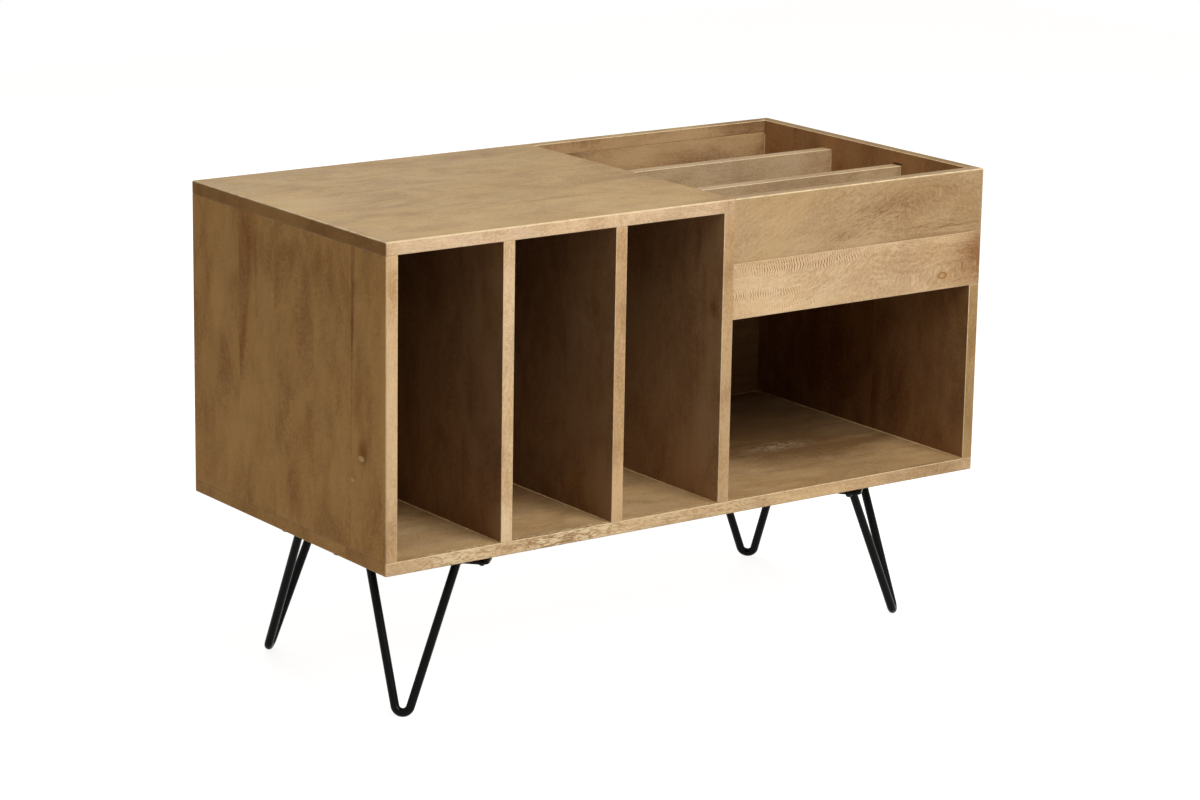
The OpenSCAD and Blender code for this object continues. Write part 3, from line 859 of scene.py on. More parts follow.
def powder_coat(tones):
    """Satin black powder coat, baked on: soft highlights and a fine orange peel."""
    material, tree = new_material("satin_black_powder_coat")
    place = add(tree, "ShaderNodeTexCoord").outputs["Object"]
    # Orange peel cells are about 0.6 mm: drawn 1.5 mm wide so that they show
    peel = uneven(tree, place, (1.5, 1.5, 1.5), 1)
    scuffs = uneven(tree, place, (25, 25, 25), 3)
    satin = {"From Min": 0.3, "From Max": 0.7, "To Min": 0.24, "To Max": 0.36}
    gloss = add(tree, MAP_RANGE, {"Value": scuffs, **satin})
    bump = add(tree, "ShaderNodeBump", {"Height": peel, "Strength": 0.25, "Distance": 0.05 * MM})
    looks = {"Base Color": rgba(tones.coat), "Roughness": gloss, "Normal": bump}
    shader = add(tree, "ShaderNodeBsdfPrincipled", {**looks, "IOR": 1.5, "Specular IOR Level": 0.09})
    add(tree, "ShaderNodeOutputMaterial", {"Surface": shader})
    return material


def black_zinc(tones):
    """Black zinc-plated steel: dark, metallic and slightly uneven."""
    material, tree = new_material("black_zinc_plated_steel")
    place = add(tree, "ShaderNodeTexCoord").outputs["Object"]
    plating = uneven(tree, place, (2, 2, 2), 2)
    dull = {"From Min": 0.3, "From Max": 0.7, "To Min": 0.3, "To Max": 0.5}
    gloss = add(tree, MAP_RANGE, {"Value": plating, **dull})
    looks = {"Base Color": rgba(tones.screw), "Metallic": 0.85, "Roughness": gloss}
    shader = add(tree, "ShaderNodeBsdfPrincipled", looks)
    add(tree, "ShaderNodeOutputMaterial", {"Surface": shader})
    return material


# ----------------------------------------------------------------------------------------
# Meshes

# How far a face is turned towards an axis, as a share of its normal
A_LITTLE = 0.3
HALF_WAY = 0.5
MOSTLY = 0.8
SQUARELY = 0.99
FLAT = 0.9999
# Edges that turn more than this are sharp, and the steps that round an outer and an inner arris
SHARP = math.radians(60)
OUTER_STEPS = 5
FINE_STEPS = 2
# The steps round a plate's corner and the sides of its holes, which are this much larger than
# the screws' shanks all round
CORNER_STEPS = 12
HOLE_SIDES = 24
HOLE_FIT = 0.25 * MM


def linked(name, data):
    """An object in the scene with this mesh, curve, light or camera."""
    made = bpy.data.objects.new(name, data)
    bpy.context.scene.collection.objects.link(made)
    return made


def plain_mesh(name, points, edges=(), faces=()):
    mesh = bpy.data.meshes.new(name)
    mesh.from_pydata(points, edges, faces)
    return mesh


def written(form, mesh):
    """Writes a form to a mesh and clears it away."""
    form.to_mesh(mesh)
    form.free()
    return mesh


def dressed(piece, slot, *nodes):
    """Says what a finished piece rides on and hides the nodes it stands for; the slot is not used.
    """
    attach(piece, BODY)
    if nodes:
        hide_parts(*nodes)
    return piece


def baked(piece):
    """Applies a piece's modifiers, so that it is a plain mesh."""
    graph = bpy.context.evaluated_depsgraph_get()
    mesh = bpy.data.meshes.new_from_object(piece.evaluated_get(graph))
    mesh.name = piece.name
    piece.modifiers.clear()
    piece.data = mesh
    return piece


def on_outside(face):
    """True if a face lies in one of the carcass's outer faces."""
    centre = face.calc_center_median()
    for way, limit in ((1, CARCASS_HIGH), (-1, CARCASS_LOW)):
        for axis in range(3):
            flush = abs(centre[axis] - limit[axis]) < FLUSH
            if flush and way * face.normal[axis] > SQUARELY:
                return True
    return False


def break_edges(form, edges, radius, steps):
    """Rounds edges as by hand."""
    bmesh.ops.bevel(
        form,
        geom=list(edges),
        offset=radius,
        offset_type="OFFSET",
        segments=steps,
        profile=0.5,
        affect="EDGES",
        clamp_overlap=True,
    )
    form.normal_update()


def box_outline(low, high):
    """The outline in Y and Z of a box."""
    return [(low.y, low.z), (high.y, low.z), (high.y, high.z), (low.y, high.z)]


def prism(outline, x0, x1):
    """A solid with an outline in Y and Z, from x0 to x1."""
    form = bmesh.new()
    rings = [[form.verts.new((x, y, z)) for y, z in outline] for x in (x0, x1)]
    form.faces.new(rings[0])
    form.faces.new(list(reversed(rings[1])))
    count = len(outline)
    for i in range(count):
        j = (i + 1) % count
        form.faces.new((rings[0][j], rings[0][i], rings[1][i], rings[1][j]))
    bmesh.ops.recalc_face_normals(form, faces=form.faces)
    form.normal_update()
    return form


def flat_face(face):
    return max(abs(part) for part in face.normal) > FLAT


def cut_boxes(piece, boxes):
    """Cuts boxes out of a piece."""
    cutters = []
    for low, high in boxes:
        form = prism(box_outline(low, high), low.x, high.x)
        cutters.append(linked("cutter", written(form, bpy.data.meshes.new("cutter"))))
        step = piece.modifiers.new("housing", "BOOLEAN")
        step.operation = "DIFFERENCE"
        step.solver = "EXACT"
        step.object = cutters[-1]
    baked(piece)
    for cutter in cutters:
        bpy.data.objects.remove(cutter)


def in_bin(centre):
    return centre.x > BIN_X - SPLIT_INSET and centre.z > BIN_Z + SPLIT_INSET


def face_tone(face, spec):
    """The tone on a face of a board: the stain with painted light and shade, by the side the face
    looks to outside the carcass, and darker inside it.
    """
    centre = face.calc_center_median()
    buried = min(*(centre - CARCASS_LOW), *(CARCASS_HIGH - centre))
    if buried > OUTSIDE_DEPTH:
        if in_bin(centre):
            return spec.get("bin", SHADED_BIN_TONE)
        return spec.get("inside", SHADED_INSIDE_TONE)
    if face.normal.x > A_LITTLE or face.normal.x < -MOSTLY:
        return spec.get("side", OUTSIDE_TONES["side"])
    if face.normal.y < -HALF_WAY:
        return spec.get("front", OUTSIDE_TONES["front"])
    if face.normal.z > HALF_WAY:
        return spec.get("top", OUTSIDE_TONES["top"])
    return OUTSIDE_TONES["back"]


def in_a_board(place):
    """True if a place lies in the box of a board."""
    for low, high in BOARD_BOXES:
        if all(low[axis] < place[axis] < high[axis] for axis in range(3)):
            return True
    return False


def at_joint(face):
    """True if a broken edge has another board against it."""
    inside = face.calc_center_median() - face.normal * JOINT_PROBE
    for axis in range(3):
        if abs(face.normal[axis]) > JOINT_LEAN:
            beside = inside.copy()
            beside[axis] += math.copysign(2 * JOINT_PROBE, face.normal[axis])
            if in_a_board(beside):
                return True
    return False


def arris_wear_and_highlight(face):
    """How pale a broken edge is: partly sanded back, partly a painted highlight where it faces the
    light.

    It is fully pale at the top, nearly so round the openings, and not at all on the carcass's right,
    rear and lower arrises.
    """
    if flat_face(face):
        return 0.0
    centre = face.calc_center_median()
    outside = sum(
        min(centre[axis] - CARCASS_LOW[axis], CARCASS_HIGH[axis] - centre[axis]) < OUTSIDE_DEPTH
        for axis in range(3)
    )
    if at_joint(face):
        return JOINT_WEAR if outside else 0.0
    if outside < 2:
        return FINE_WEAR_AND_HIGHLIGHT
    if max(face.normal.x, face.normal.y, -face.normal.z) > A_LITTLE:
        return 0.0
    return TOP_WEAR_AND_HIGHLIGHT if face.normal.z > A_LITTLE else OUTER_WEAR_AND_HIGHLIGHT


def mark_faces(mesh, spec):
    """Marks broken edges with how pale they are, partly painted highlight, and each face's tone,
    which carries painted light and shade, and keeps flat faces flat.
    """
    form = bmesh.new()
    form.from_mesh(mesh)
    splits = (((BIN_X - SPLIT_INSET, 0, 0), (1, 0, 0)), ((0, 0, BIN_Z + SPLIT_INSET), (0, 0, 1)))
    for place, normal in splits:
        everything = [*form.verts, *form.edges, *form.faces]
        bmesh.ops.bisect_plane(form, geom=everything, plane_co=place, plane_no=normal)
    form.normal_update()
    arris = form.faces.layers.float.new("arris")
    tone = form.faces.layers.float_color.new("stain")
    for face in form.faces:
        face[arris] = arris_wear_and_highlight(face)
        face[tone] = rgba(hex_colour(face_tone(face, spec)))
        face.smooth = True
    for edge in form.edges:
        edge.smooth = not any(flat_face(face) for face in edge.link_faces)
    written(form, mesh)


def make_board(node, sizes, material, outline=None, housings=()):
    """A board in the place of a CAD node, with its edges broken by hand."""
    low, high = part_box(node)
    form = prism(outline or box_outline(low, high), low.x, high.x)
    outer = [e for e in form.edges if all(on_outside(face) for face in e.link_faces)]
    break_edges(form, outer, sizes.outer_arris, OUTER_STEPS)
    square = [e for e in form.edges if e.calc_face_angle() > SHARP]
    break_edges(form, square, sizes.fine_arris, FINE_STEPS)
    name = "board_" + node
    piece = linked(name, written(form, bpy.data.meshes.new(name)))
    if housings:
        cut_boxes(piece, housings)
    mark_faces(piece.data, BOARDS[node])
    piece.data.materials.clear()
    piece.data.materials.append(material)
    return dressed(piece, "stained_wood", node)


def leg_matrix(corner, z):
    """Places a leg's own axes at a corner: Y towards the corner, X along the plate."""
    sx, sy = CORNERS[corner]
    low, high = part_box("leg_plate_" + corner)
    middle = (low + high) / 2
    turn = Matrix.Rotation(math.atan2(sy, sx) - math.pi / 2, 4, "Z")
    return Matrix.Translation((middle.x, middle.y, z)) @ turn


def leg_lines(sizes):
    """(lean of the V's plane, distance from the plate to where the arms would cross)."""
    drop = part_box("leg_plate_front_left")[0].z - CAD_LOW.z - sizes.rod / 2
    lean = math.atan2(sizes.rake, drop)
    bend_middle = math.hypot(sizes.rake, drop) - sizes.bend
    half = sizes.spread / 2
    splay = math.acos(sizes.bend / math.hypot(half, bend_middle)) - math.atan2(bend_middle, half)
    return lean, half / math.tan(splay)


def screw_places(sizes):
    """Where the screws stand along a plate."""
    outer = sizes.plate_length / 2 - sizes.screw_margin
    inner = sizes.spread / 4
    return (-outer, -inner, inner, outer)


def punched_plate(name, thickness, edge, sizes):
    """A flat plate with round corners, screw holes and broken edges, its lower face at z = 0."""
    curve = bpy.data.curves.new(name, "CURVE")
    curve.dimensions = "2D"
    curve.fill_mode = "BOTH"
    curve.extrude = thickness / 2 - edge
    curve.bevel_depth = edge
    curve.bevel_resolution = 2
    curve.offset = -edge
    outline = []
    round_corner = sizes.plate_corner
    for quarter, (sx, sy) in enumerate(((1, 1), (-1, 1), (-1, -1), (1, -1))):
        cx = sx * (sizes.plate_length / 2 - round_corner)
        cy = sy * (sizes.plate_width / 2 - round_corner)
        for i in range(CORNER_STEPS + 1):
            angle = (quarter + i / CORNER_STEPS) * math.pi / 2
            x = cx + round_corner * math.cos(angle)
            outline.append((x, cy + round_corner * math.sin(angle)))
    loops = [outline]
    hole = sizes.screw_shank / 2 + HOLE_FIT
    turns = [math.tau * i / HOLE_SIDES for i in reversed(range(HOLE_SIDES))]
    for x in screw_places(sizes):
        loops.append([(x + hole * math.cos(a), hole * math.sin(a)) for a in turns])
    for loop in loops:
        spline = curve.splines.new("POLY")
        spline.points.add(len(loop) - 1)
        for point, (x, y) in zip(spline.points, loop):
            point.co = (x, y, thickness / 2, 1)
        spline.use_cyclic_u = True
    shape = linked(name, curve)
    mesh = bpy.data.meshes.new_from_object(shape)
    bpy.data.objects.remove(shape)
    mesh.transform(Matrix.Translation((0, 0, thickness / 2)))
    mesh.shade_flat()
    return mesh


def weld_bead(form, top, run, sizes):
    """A rippled weld bead round an arm, from the plate down along the rod."""
    around, rows, ripples = 48, 8, 14
    ripple_depth = 0.16
    # The last ring closes the bead inside the rod, part of the way down
    sunk, sunk_drop = -2 * MM, 0.6
    rings = []
    for row in range(rows + 2):
        turn = min(row, rows) / rows * math.pi / 2
        drop = sizes.weld_height * (math.sin(turn) if row <= rows else sunk_drop)
        centre = top + run * (drop / abs(run.z))
        ring = []
        for i in range(around):
            angle = math.tau * i / around
            wave = abs(math.sin(ripples * angle / 2 + 0.5 * math.sin(3 * angle)))
            swell = (1 + ripple_depth * wave) / (1 + ripple_depth)
            width = sizes.weld_width * math.cos(turn) * swell if row <= rows else sunk
            spoke = Vector((math.cos(angle), math.sin(angle), 0))
            ring.append(form.verts.new(centre + spoke * (sizes.rod / 2 + width)))
        rings.append(ring)
    for ring, after in zip(rings, rings[1:] + rings[:1]):
        for i in range(around):
            j = (i + 1) % around
            form.faces.new((ring[i], ring[j], after[j], after[i])).smooth = True


def add_plates(kind, finish, edge, material, slot, sizes):
    """Puts a plate or block with this much broken edges at each corner."""
    for corner in CORNERS:
        node = kind + corner
        name = finish + node
        low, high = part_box(node)
        mesh = punched_plate(name, high.z - low.z, edge, sizes)
        mesh.transform(leg_matrix(corner, low.z))
        mesh.materials.append(material)
        dressed(linked(name, mesh), slot, node)


# ----------------------------------------------------------------------------------------
# Geometry Nodes

# Faces round a bead of filler and round a rod, and the steps of the rod's bend
BEAD_SIDES = 8
ROD_SIDES = 32
BEND_STEPS = 24


def new_geometry_tree(name, inputs):
    """A Geometry Nodes tree with these (name, socket kind, default) inputs."""
    tree = bpy.data.node_groups.new(name, "GeometryNodeTree")
    tree.interface.new_socket("Geometry", in_out="INPUT", socket_type="NodeSocketGeometry")
    for label, kind, default in inputs:
        socket = tree.interface.new_socket(label, in_out="INPUT", socket_type=kind)
        if default is not None:
            socket.default_value = default
    tree.interface.new_socket("Geometry", in_out="OUTPUT", socket_type="NodeSocketGeometry")
    return tree, add(tree, "NodeGroupInput").outputs


def close_geometry_tree(tree, geometry, material):
    real = add(tree, "GeometryNodeRealizeInstances", {"Geometry": geometry})
    coated = add(tree, "GeometryNodeSetMaterial", {"Geometry": real, "Material": material})
    add(tree, "NodeGroupOutput", {"Geometry": coated})
    return tree


def grown(name, mesh, tree, values):
    """An object whose mesh has been put through a Geometry Nodes tree, as a plain mesh."""
    piece = linked(name, mesh)
    step = piece.modifiers.new("grow", "NODES")
    step.node_group = tree
    for item in tree.interface.items_tree:
        if item.in_out == "INPUT" and item.name in values:
            step[item.identifier] = values[item.name]
    return baked(piece)


def round_bar(tree, path, sides, radius):
    """A smooth round bar along a path."""
    ring = add(tree, "GeometryNodeCurvePrimitiveCircle", {"Resolution": sides, "Radius": radius})
    ends = {"Profile Curve": ring, "Fill Caps": True}
    bar = add(tree, "GeometryNodeCurveToMesh", {"Curve": path, **ends})
    return add(tree, "GeometryNodeSetShadeSmooth", {"Geometry": bar})


def bent_rod_tree():
    """Rod bent round a corner: the wire's corners are filleted and the wire gets a thickness."""
    tree, given = new_geometry_tree(
        "bent_rod",
        (
            ("Rod diameter", "NodeSocketFloat", 0.012),
            ("Bend radius", "NodeSocketFloat", 0.011),
            ("Sides", "NodeSocketInt", ROD_SIDES),
            ("Material", "NodeSocketMaterial", None),
        ),
    )
    wire = add(tree, "GeometryNodeMeshToCurve", {"Mesh": given["Geometry"]})
    bend = add(
        tree,
        "GeometryNodeFilletCurve",
        {"Curve": wire, "Radius": given["Bend radius"], "Limit Radius": False},
        mode="POLY",
    )
    bend.inputs["Count"].default_value = BEND_STEPS
    radius = add(tree, MATH, {0: given["Rod diameter"], 1: 0.5}, operation="MULTIPLY")
    rod = round_bar(tree, bend, given["Sides"], radius)
    return close_geometry_tree(tree, rod, given["Material"])


def filler_tree():
    """Filler smeared along corners: a thin bead that wavers a little."""
    tree, given = new_geometry_tree(
        "corner_filler",
        (
            ("Bead radius", "NodeSocketFloat", 0.0008),
            ("Waver", "NodeSocketFloat", 0.0005),
            ("Step", "NodeSocketFloat", 0.012),
            ("Material", "NodeSocketMaterial", None),
        ),
    )
    wire = add(tree, "GeometryNodeMeshToCurve", {"Mesh": given["Geometry"]})
    fine = add(tree, "GeometryNodeResampleCurve", {"Curve": wire}, mode="LENGTH")
    tree.links.new(given["Step"], fine.inputs["Length"])
    place = add(tree, "GeometryNodeInputPosition")
    noise = add(tree, "ShaderNodeTexNoise", {"Vector": place, "Scale": 40.0, "Detail": 2.0})
    away = {0: noise.outputs["Color"], 1: GREY}
    centred = add(tree, VECTOR_MATH, away, operation="SUBTRACT")
    shift = add(tree, VECTOR_MATH, {0: centred}, operation="SCALE")
    tree.links.new(given["Waver"], shift.inputs["Scale"])
    wavy = add(tree, "GeometryNodeSetPosition", {"Geometry": fine, "Offset": shift})
    bead = round_bar(tree, wavy, BEAD_SIDES, given["Bead radius"])
    return close_geometry_tree(tree, bead, given["Material"])


def screw_tree():
    """Pan-head screws on points: a domed head with a cross recess, and a shank above it."""
    tree, given = new_geometry_tree(
        "pan_head_screws",
        (
            ("Head diameter", "NodeSocketFloat", 0.010),
            ("Head height", "NodeSocketFloat", 0.004),
            ("Shank diameter", "NodeSocketFloat", 0.005),
            ("Shank length", "NodeSocketFloat", 0.035),
            ("Material", "NodeSocketMaterial", None),
        ),
    )
    half = add(tree, MATH, {0: given["Head diameter"], 1: 0.5}, operation="MULTIPLY")
    squash = add(tree, JOIN, {"X": half, "Y": half, "Z": given["Head height"]})
    ball = add(tree, "GeometryNodeMeshUVSphere", {"Segments": 32, "Rings": 16, "Radius": 1.0})
    dome = add(tree, "GeometryNodeTransform", {"Geometry": ball, "Scale": squash})
    wing = add(tree, MATH, {0: given["Head diameter"], 1: 0.55}, operation="MULTIPLY")
    slit = add(tree, MATH, {0: given["Head diameter"], 1: 0.12}, operation="MULTIPLY")
    deep = add(tree, MATH, {0: given["Head height"], 1: -1.0}, operation="MULTIPLY")
    below = add(tree, JOIN, {"X": 0.0, "Y": 0.0, "Z": deep})
    cuts = []
    for x, y in ((wing, slit), (slit, wing)):
        size = add(tree, JOIN, {"X": x, "Y": y, "Z": given["Head height"]})
        bar = add(tree, "GeometryNodeMeshCube", {"Size": size})
        cuts.append(add(tree, "GeometryNodeTransform", {"Geometry": bar, "Translation": below}))
    recess = add(tree, "GeometryNodeMeshBoolean", operation="UNION")
    for cut in cuts:
        tree.links.new(cut.outputs[0], recess.inputs["Mesh 2"])
    head = add(tree, "GeometryNodeMeshBoolean", {"Mesh 1": dome}, operation="DIFFERENCE")
    tree.links.new(recess.outputs[0], head.inputs["Mesh 2"])
    thin = add(tree, MATH, {0: given["Shank diameter"], 1: 0.5}, operation="MULTIPLY")
    shank = add(
        tree,
        "GeometryNodeMeshCylinder",
        {"Vertices": 16, "Radius": thin, "Depth": given["Shank length"]},
    )
    rise = add(tree, MATH, {0: given["Shank length"], 1: 0.5}, operation="MULTIPLY")
    up = add(tree, JOIN, {"X": 0.0, "Y": 0.0, "Z": rise})
    raised = {"Geometry": shank.outputs["Mesh"], "Translation": up}
    shank = add(tree, "GeometryNodeTransform", raised)
    whole = add(tree, "GeometryNodeJoinGeometry")
    for part in (head, shank):
        tree.links.new(part.outputs[0], whole.inputs["Geometry"])
    turn = add(tree, "GeometryNodeInputNamedAttribute", {"Name": "turn"}, data_type="FLOAT_VECTOR")
    set_out = add(
        tree,
        "GeometryNodeInstanceOnPoints",
        {"Points": given["Geometry"], "Instance": whole, "Rotation": turn},
    )
    return close_geometry_tree(tree, set_out, given["Material"])


# ----------------------------------------------------------------------------------------
# Operators


def settings_of(scene):
    """(sizes, tones) that the scene's settings give."""
    return scene.stand_sizes, scene.stand_tones


def add_boards(context, *nodes, outlines=None, housings=None):
    sizes, tones = settings_of(context.scene)
    figure = bpy.data.node_groups.get("hardwood_figure") or hardwood_figure()
    for node in nodes:
        material = stained_hardwood(node, BOARDS[node], figure, sizes, tones)
        outline = (outlines or {}).get(node)
        make_board(node, sizes, material, outline, (housings or {}).get(node, ()))


class STAND_OT_top_and_bottom(bpy.types.Operator):
    """Makes the top panel and the full-width bottom panel"""

    bl_idname = "stand.top_and_bottom"
    bl_label = "Top and bottom"

    def execute(self, context):
        add_boards(context, "top_panel", "bottom_panel")
        return {"FINISHED"}


class STAND_OT_sides(bpy.types.Operator):
    """Makes the two sides, the right one notched for the bin's front"""

    bl_idname = "stand.sides"
    bl_label = "Sides"

    def execute(self, context):
        low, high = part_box("right_side")
        notched = [
            (low.y, low.z),
            (high.y, low.z),
            (high.y, high.z),
            (BIN_FRONT_Y, high.z),
            (BIN_FRONT_Y, BIN_Z),
            (low.y, BIN_Z),
        ]
        pockets = []
        for node, slack in (("bin_divider_front", HOUSING_SLACK), ("bin_divider_rear", 0.0)):
            first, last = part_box(node)
            reach = Vector((HOUSING_FIT, HOUSING_FIT, slack + HOUSING_FIT))
            start = Vector((RIGHT_INNER_X - MM, first.y - slack - HOUSING_FIT, BIN_FLOOR_Z))
            pockets.append((start, last + reach))
        add_boards(
            context,
            "left_side",
            "right_side",
            outlines={"right_side": notched},
            housings={"right_side": pockets},
        )
        return {"FINISHED"}


class STAND_OT_uprights(bpy.types.Operator):
    """Makes the middle upright and the two slot dividers"""

    bl_idname = "stand.uprights"
    bl_label = "Uprights"

    def execute(self, context):
        pockets = []
        for node in ("bin_divider_front", "bin_divider_rear"):
            first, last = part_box(node)
            start = Vector((first.x - HOUSING_FIT, first.y - HOUSING_FIT, BIN_FLOOR_Z))
            stop = Vector((BIN_X + MM, last.y + HOUSING_FIT, last.z + HOUSING_FIT))
            pockets.append((start, stop))
        add_boards(
            context,
            "middle_upright",
            "slot_divider_left",
            "slot_divider_right",
            housings={"middle_upright": pockets},
        )
        return {"FINISHED"}


class STAND_OT_back(bpy.types.Operator):
    """Makes the back panel and the rail on it behind the bin"""

    bl_idname = "stand.back"
    bl_label = "Back"

    def execute(self, context):
        add_boards(context, "back_panel", "bin_back_rail")
        return {"FINISHED"}


class STAND_OT_bin(bpy.types.Operator):
    """Makes the bin: its floor, the two planks of its front and its dividers"""

    bl_idname = "stand.bin"
    bl_label = "Bin"

    def execute(self, context):
        add_boards(
            context,
            "bin_floor",
            "bin_front_upper_plank",
            "bin_front_lower_plank",
            "bin_divider_front",
            "bin_divider_rear",
        )
        return {"FINISHED"}


class STAND_OT_filler(bpy.types.Operator):
    """Smears filler along the inside corners of the slots, the cubby and the bin"""

    bl_idname = "stand.filler"
    bl_label = "Corner filler"

    def execute(self, context):
        sizes, tones = settings_of(context.scene)
        inset = 1.5 * MM
        # Each bay runs from a low to a high corner, and is open along an axis: in front or above
        bays = []
        x, front = SLOTS_X, FRONT_Y + inset
        for node in ("slot_divider_left", "slot_divider_right", "middle_upright"):
            low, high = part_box(node)
            bays.append(((x, front, FLOOR_Z), (low.x, BACK_INNER_Y, UNDER_TOP_Z), 1))
            x = high.x
        bays.append(((BIN_X, front, FLOOR_Z), (RIGHT_INNER_X, BACK_INNER_Y, BIN_Z), 1))
        y, rim = BIN_FRONT_Y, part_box("bin_divider_rear")[1].z - inset
        for node in ("bin_divider_front", "bin_divider_rear"):
            low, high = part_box(node)
            bays.append(((BIN_X, y, BIN_FLOOR_Z), (RIGHT_INNER_X, low.y, rim), 2))
            y = high.y
        bays.append(((BIN_X, y, BIN_FLOOR_Z), (RIGHT_INNER_X, BACK_INNER_Y, rim), 2))
        points, edges = [], []
        for low, high, open_axis in bays:
            for axis in range(3):
                # The slots and the cubby have no filler in their upright corners
                if open_axis == 1 and axis == 2:
                    continue
                others = [a for a in range(3) if a != axis]
                for pick in ((0, 0), (0, 1), (1, 0), (1, 1)):
                    ends = dict(zip(others, pick))
                    # Nor has any bay round its open side
                    if ends.get(open_axis) == open_axis - 1:
                        continue
                    start = [(low, high)[ends.get(a, 0)][a] for a in range(3)]
                    stop = list(start)
                    stop[axis] = high[axis]
                    edges.append((len(points), len(points) + 1))
                    points += [start, stop]
        piece = grown(
            "corner_filler",
            plain_mesh("corner_filler", points, edges),
            filler_tree(),
            {"Bead radius": sizes.filler_bead, "Material": wood_filler(tones)},
        )
        dressed(piece, "stained_wood")
        return {"FINISHED"}


class STAND_OT_dowels(bpy.types.Operator):
    """Gives the hidden dowels their wood"""

    bl_idname = "stand.dowels"
    bl_label = "Dowels"

    def execute(self, context):
        tones = context.scene.stand_tones
        dark = [0.7 * part for part in tones.dowel]
        beech = plain_wood("turned_beech", tones.dowel, dark, (20, 20, 2), (3, 3, 3))
        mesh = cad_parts["dowels"].data
        mesh.materials.clear()
        mesh.materials.append(beech)
        return {"FINISHED"}


class STAND_OT_leg_rods(bpy.types.Operator):
    """Bends the four leg rods and welds them to their plates"""

    bl_idname = "stand.leg_rods"
    bl_label = "Leg rods"

    def execute(self, context):
        sizes, tones = settings_of(context.scene)
        coat = powder_coat(tones)
        tree = bent_rod_tree()
        lean, reach = leg_lines(sizes)
        half = sizes.spread / 2
        into_plate = 1.2 * MM
        lengthen = 1 + into_plate / (reach * math.cos(lean))
        for corner in CORNERS:
            name = "leg_rod_" + corner
            matrix = leg_matrix(corner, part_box("leg_plate_" + corner)[0].z)
            tilted = matrix @ Matrix.Rotation(lean, 4, "X")
            foot = Vector((0, 0, -reach))
            tops = [foot + (Vector((s * half, 0, 0)) - foot) * lengthen for s in (-1, 1)]
            points = [tilted @ p for p in (tops[0], foot, tops[1])]
            piece = grown(
                "bent_" + name,
                plain_mesh(name, points, [(0, 1), (1, 2)]),
                tree,
                {
                    "Rod diameter": sizes.rod,
                    "Bend radius": sizes.bend,
                    "Sides": ROD_SIDES,
                    "Material": coat,
                },
            )
            form = bmesh.new()
            form.from_mesh(piece.data)
            for side in (-1, 1):
                top = tilted @ Vector((side * half, 0, 0))
                run = (tilted @ foot - top).normalized()
                weld_bead(form, top, run, sizes)
            bmesh.ops.recalc_face_normals(form, faces=form.faces)
            written(form, piece.data)
            dressed(piece, "black_powder_coat", name)
        return {"FINISHED"}


class STAND_OT_leg_plates(bpy.types.Operator):
    """Makes the plates that carry the leg rods"""

    bl_idname = "stand.leg_plates"
    bl_label = "Leg plates"

    def execute(self, context):
        sizes = context.scene.stand_sizes
        coat = bpy.data.materials["satin_black_powder_coat"]
        edge = 0.5 * MM
        add_plates("leg_plate_", "punched_", edge, coat, "black_powder_coat", sizes)
        return {"FINISHED"}


class STAND_OT_leg_blocks(bpy.types.Operator):
    """Makes the raw wood blocks above the plates"""

    bl_idname = "stand.leg_blocks"
    bl_label = "Leg blocks"

    def execute(self, context):
        sizes, tones = settings_of(context.scene)
        dark = [0.55 * part for part in tones.raw]
        raw = plain_wood("raw_sawn_hardwood", tones.raw, dark, (45, 45, 3), (30, 30, 2.2))
        edge = 0.8 * MM
        add_plates("leg_block_", "sawn_", edge, raw, "raw_wood", sizes)
        return {"FINISHED"}


class STAND_OT_leg_screws(bpy.types.Operator):
    """Sets the pan-head screws that hold the plates"""

    bl_idname = "stand.leg_screws"
    bl_label = "Leg screws"

    def execute(self, context):
        sizes, tones = settings_of(context.scene)
        dice = random.Random(sizes.seed)
        points, turns = [], []
        for corner in CORNERS:
            matrix = leg_matrix(corner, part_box("leg_plate_" + corner)[0].z)
            for x in screw_places(sizes):
                points.append(matrix @ Vector((x, 0, 0)))
                turns += [0.0, 0.0, dice.uniform(0, math.pi / 2)]
        mesh = plain_mesh("leg_screws", points)
        mesh.attributes.new("turn", "FLOAT_VECTOR", "POINT").data.foreach_set("vector", turns)
        low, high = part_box("leg_screws")
        piece = grown(
            "pan_head_leg_screws",
            mesh,
            screw_tree(),
            {
                "Head diameter": sizes.screw_head,
                "Head height": sizes.screw_head_height,
                "Shank diameter": sizes.screw_shank,
                "Shank length": high.z - low.z - sizes.screw_head_height,
                "Material": black_zinc(tones),
            },
        )
        dressed(piece, "black_screw", "leg_screws")
        return {"FINISHED"}


# ----------------------------------------------------------------------------------------
# Stage

# The photograph's camera: its bearing (left of the front is negative), height above the level
# and roll in degrees, and its distance in metres
VIEW_AZIMUTH = -35.376
VIEW_ELEVATION = 14.277
VIEW_ROLL = 0.814
VIEW_DISTANCE = 5.075
# How far the middle of the carcass lies right of and above the view's axis, in metres
VIEW_RIGHT = 0.0451
VIEW_UP = 0.1143
# Focal length in pixels of the 1200 pixel wide picture, and where the view's axis meets it
PICTURE_WIDTH, PICTURE_HEIGHT = 1200, 800
FOCAL_PIXELS = 3616.6
AXIS_X, AXIS_Y = 560, 410
SENSOR_MM = 36
# Nothing further off than this is drawn, in metres
VIEW_END = 60
# Soft boxes: azimuth and elevation in degrees, distance and size in metres, level and colour
LIGHTS = {
    "key": (4, 46, 3.4, 2.2, 1.02, (1.0, 0.99, 0.97)),
    "rear_fill": (165, 30, 4.0, 2.5, 0.25, (1.0, 0.97, 0.93)),
}
# The surroundings' light on the stand
FILL_COLOUR = (1.0, 0.88, 0.74)
FILL_STRENGTH = 0.19
# The floor: half its width in metres, its grey as the stand sees it, and its grey and its own
# light as the camera sees it
FLOOR_REACH = 5.0
FLOOR_GREY = 0.6
SHADED_GREY = 0.45
FLOOR_LIFT = 0.9


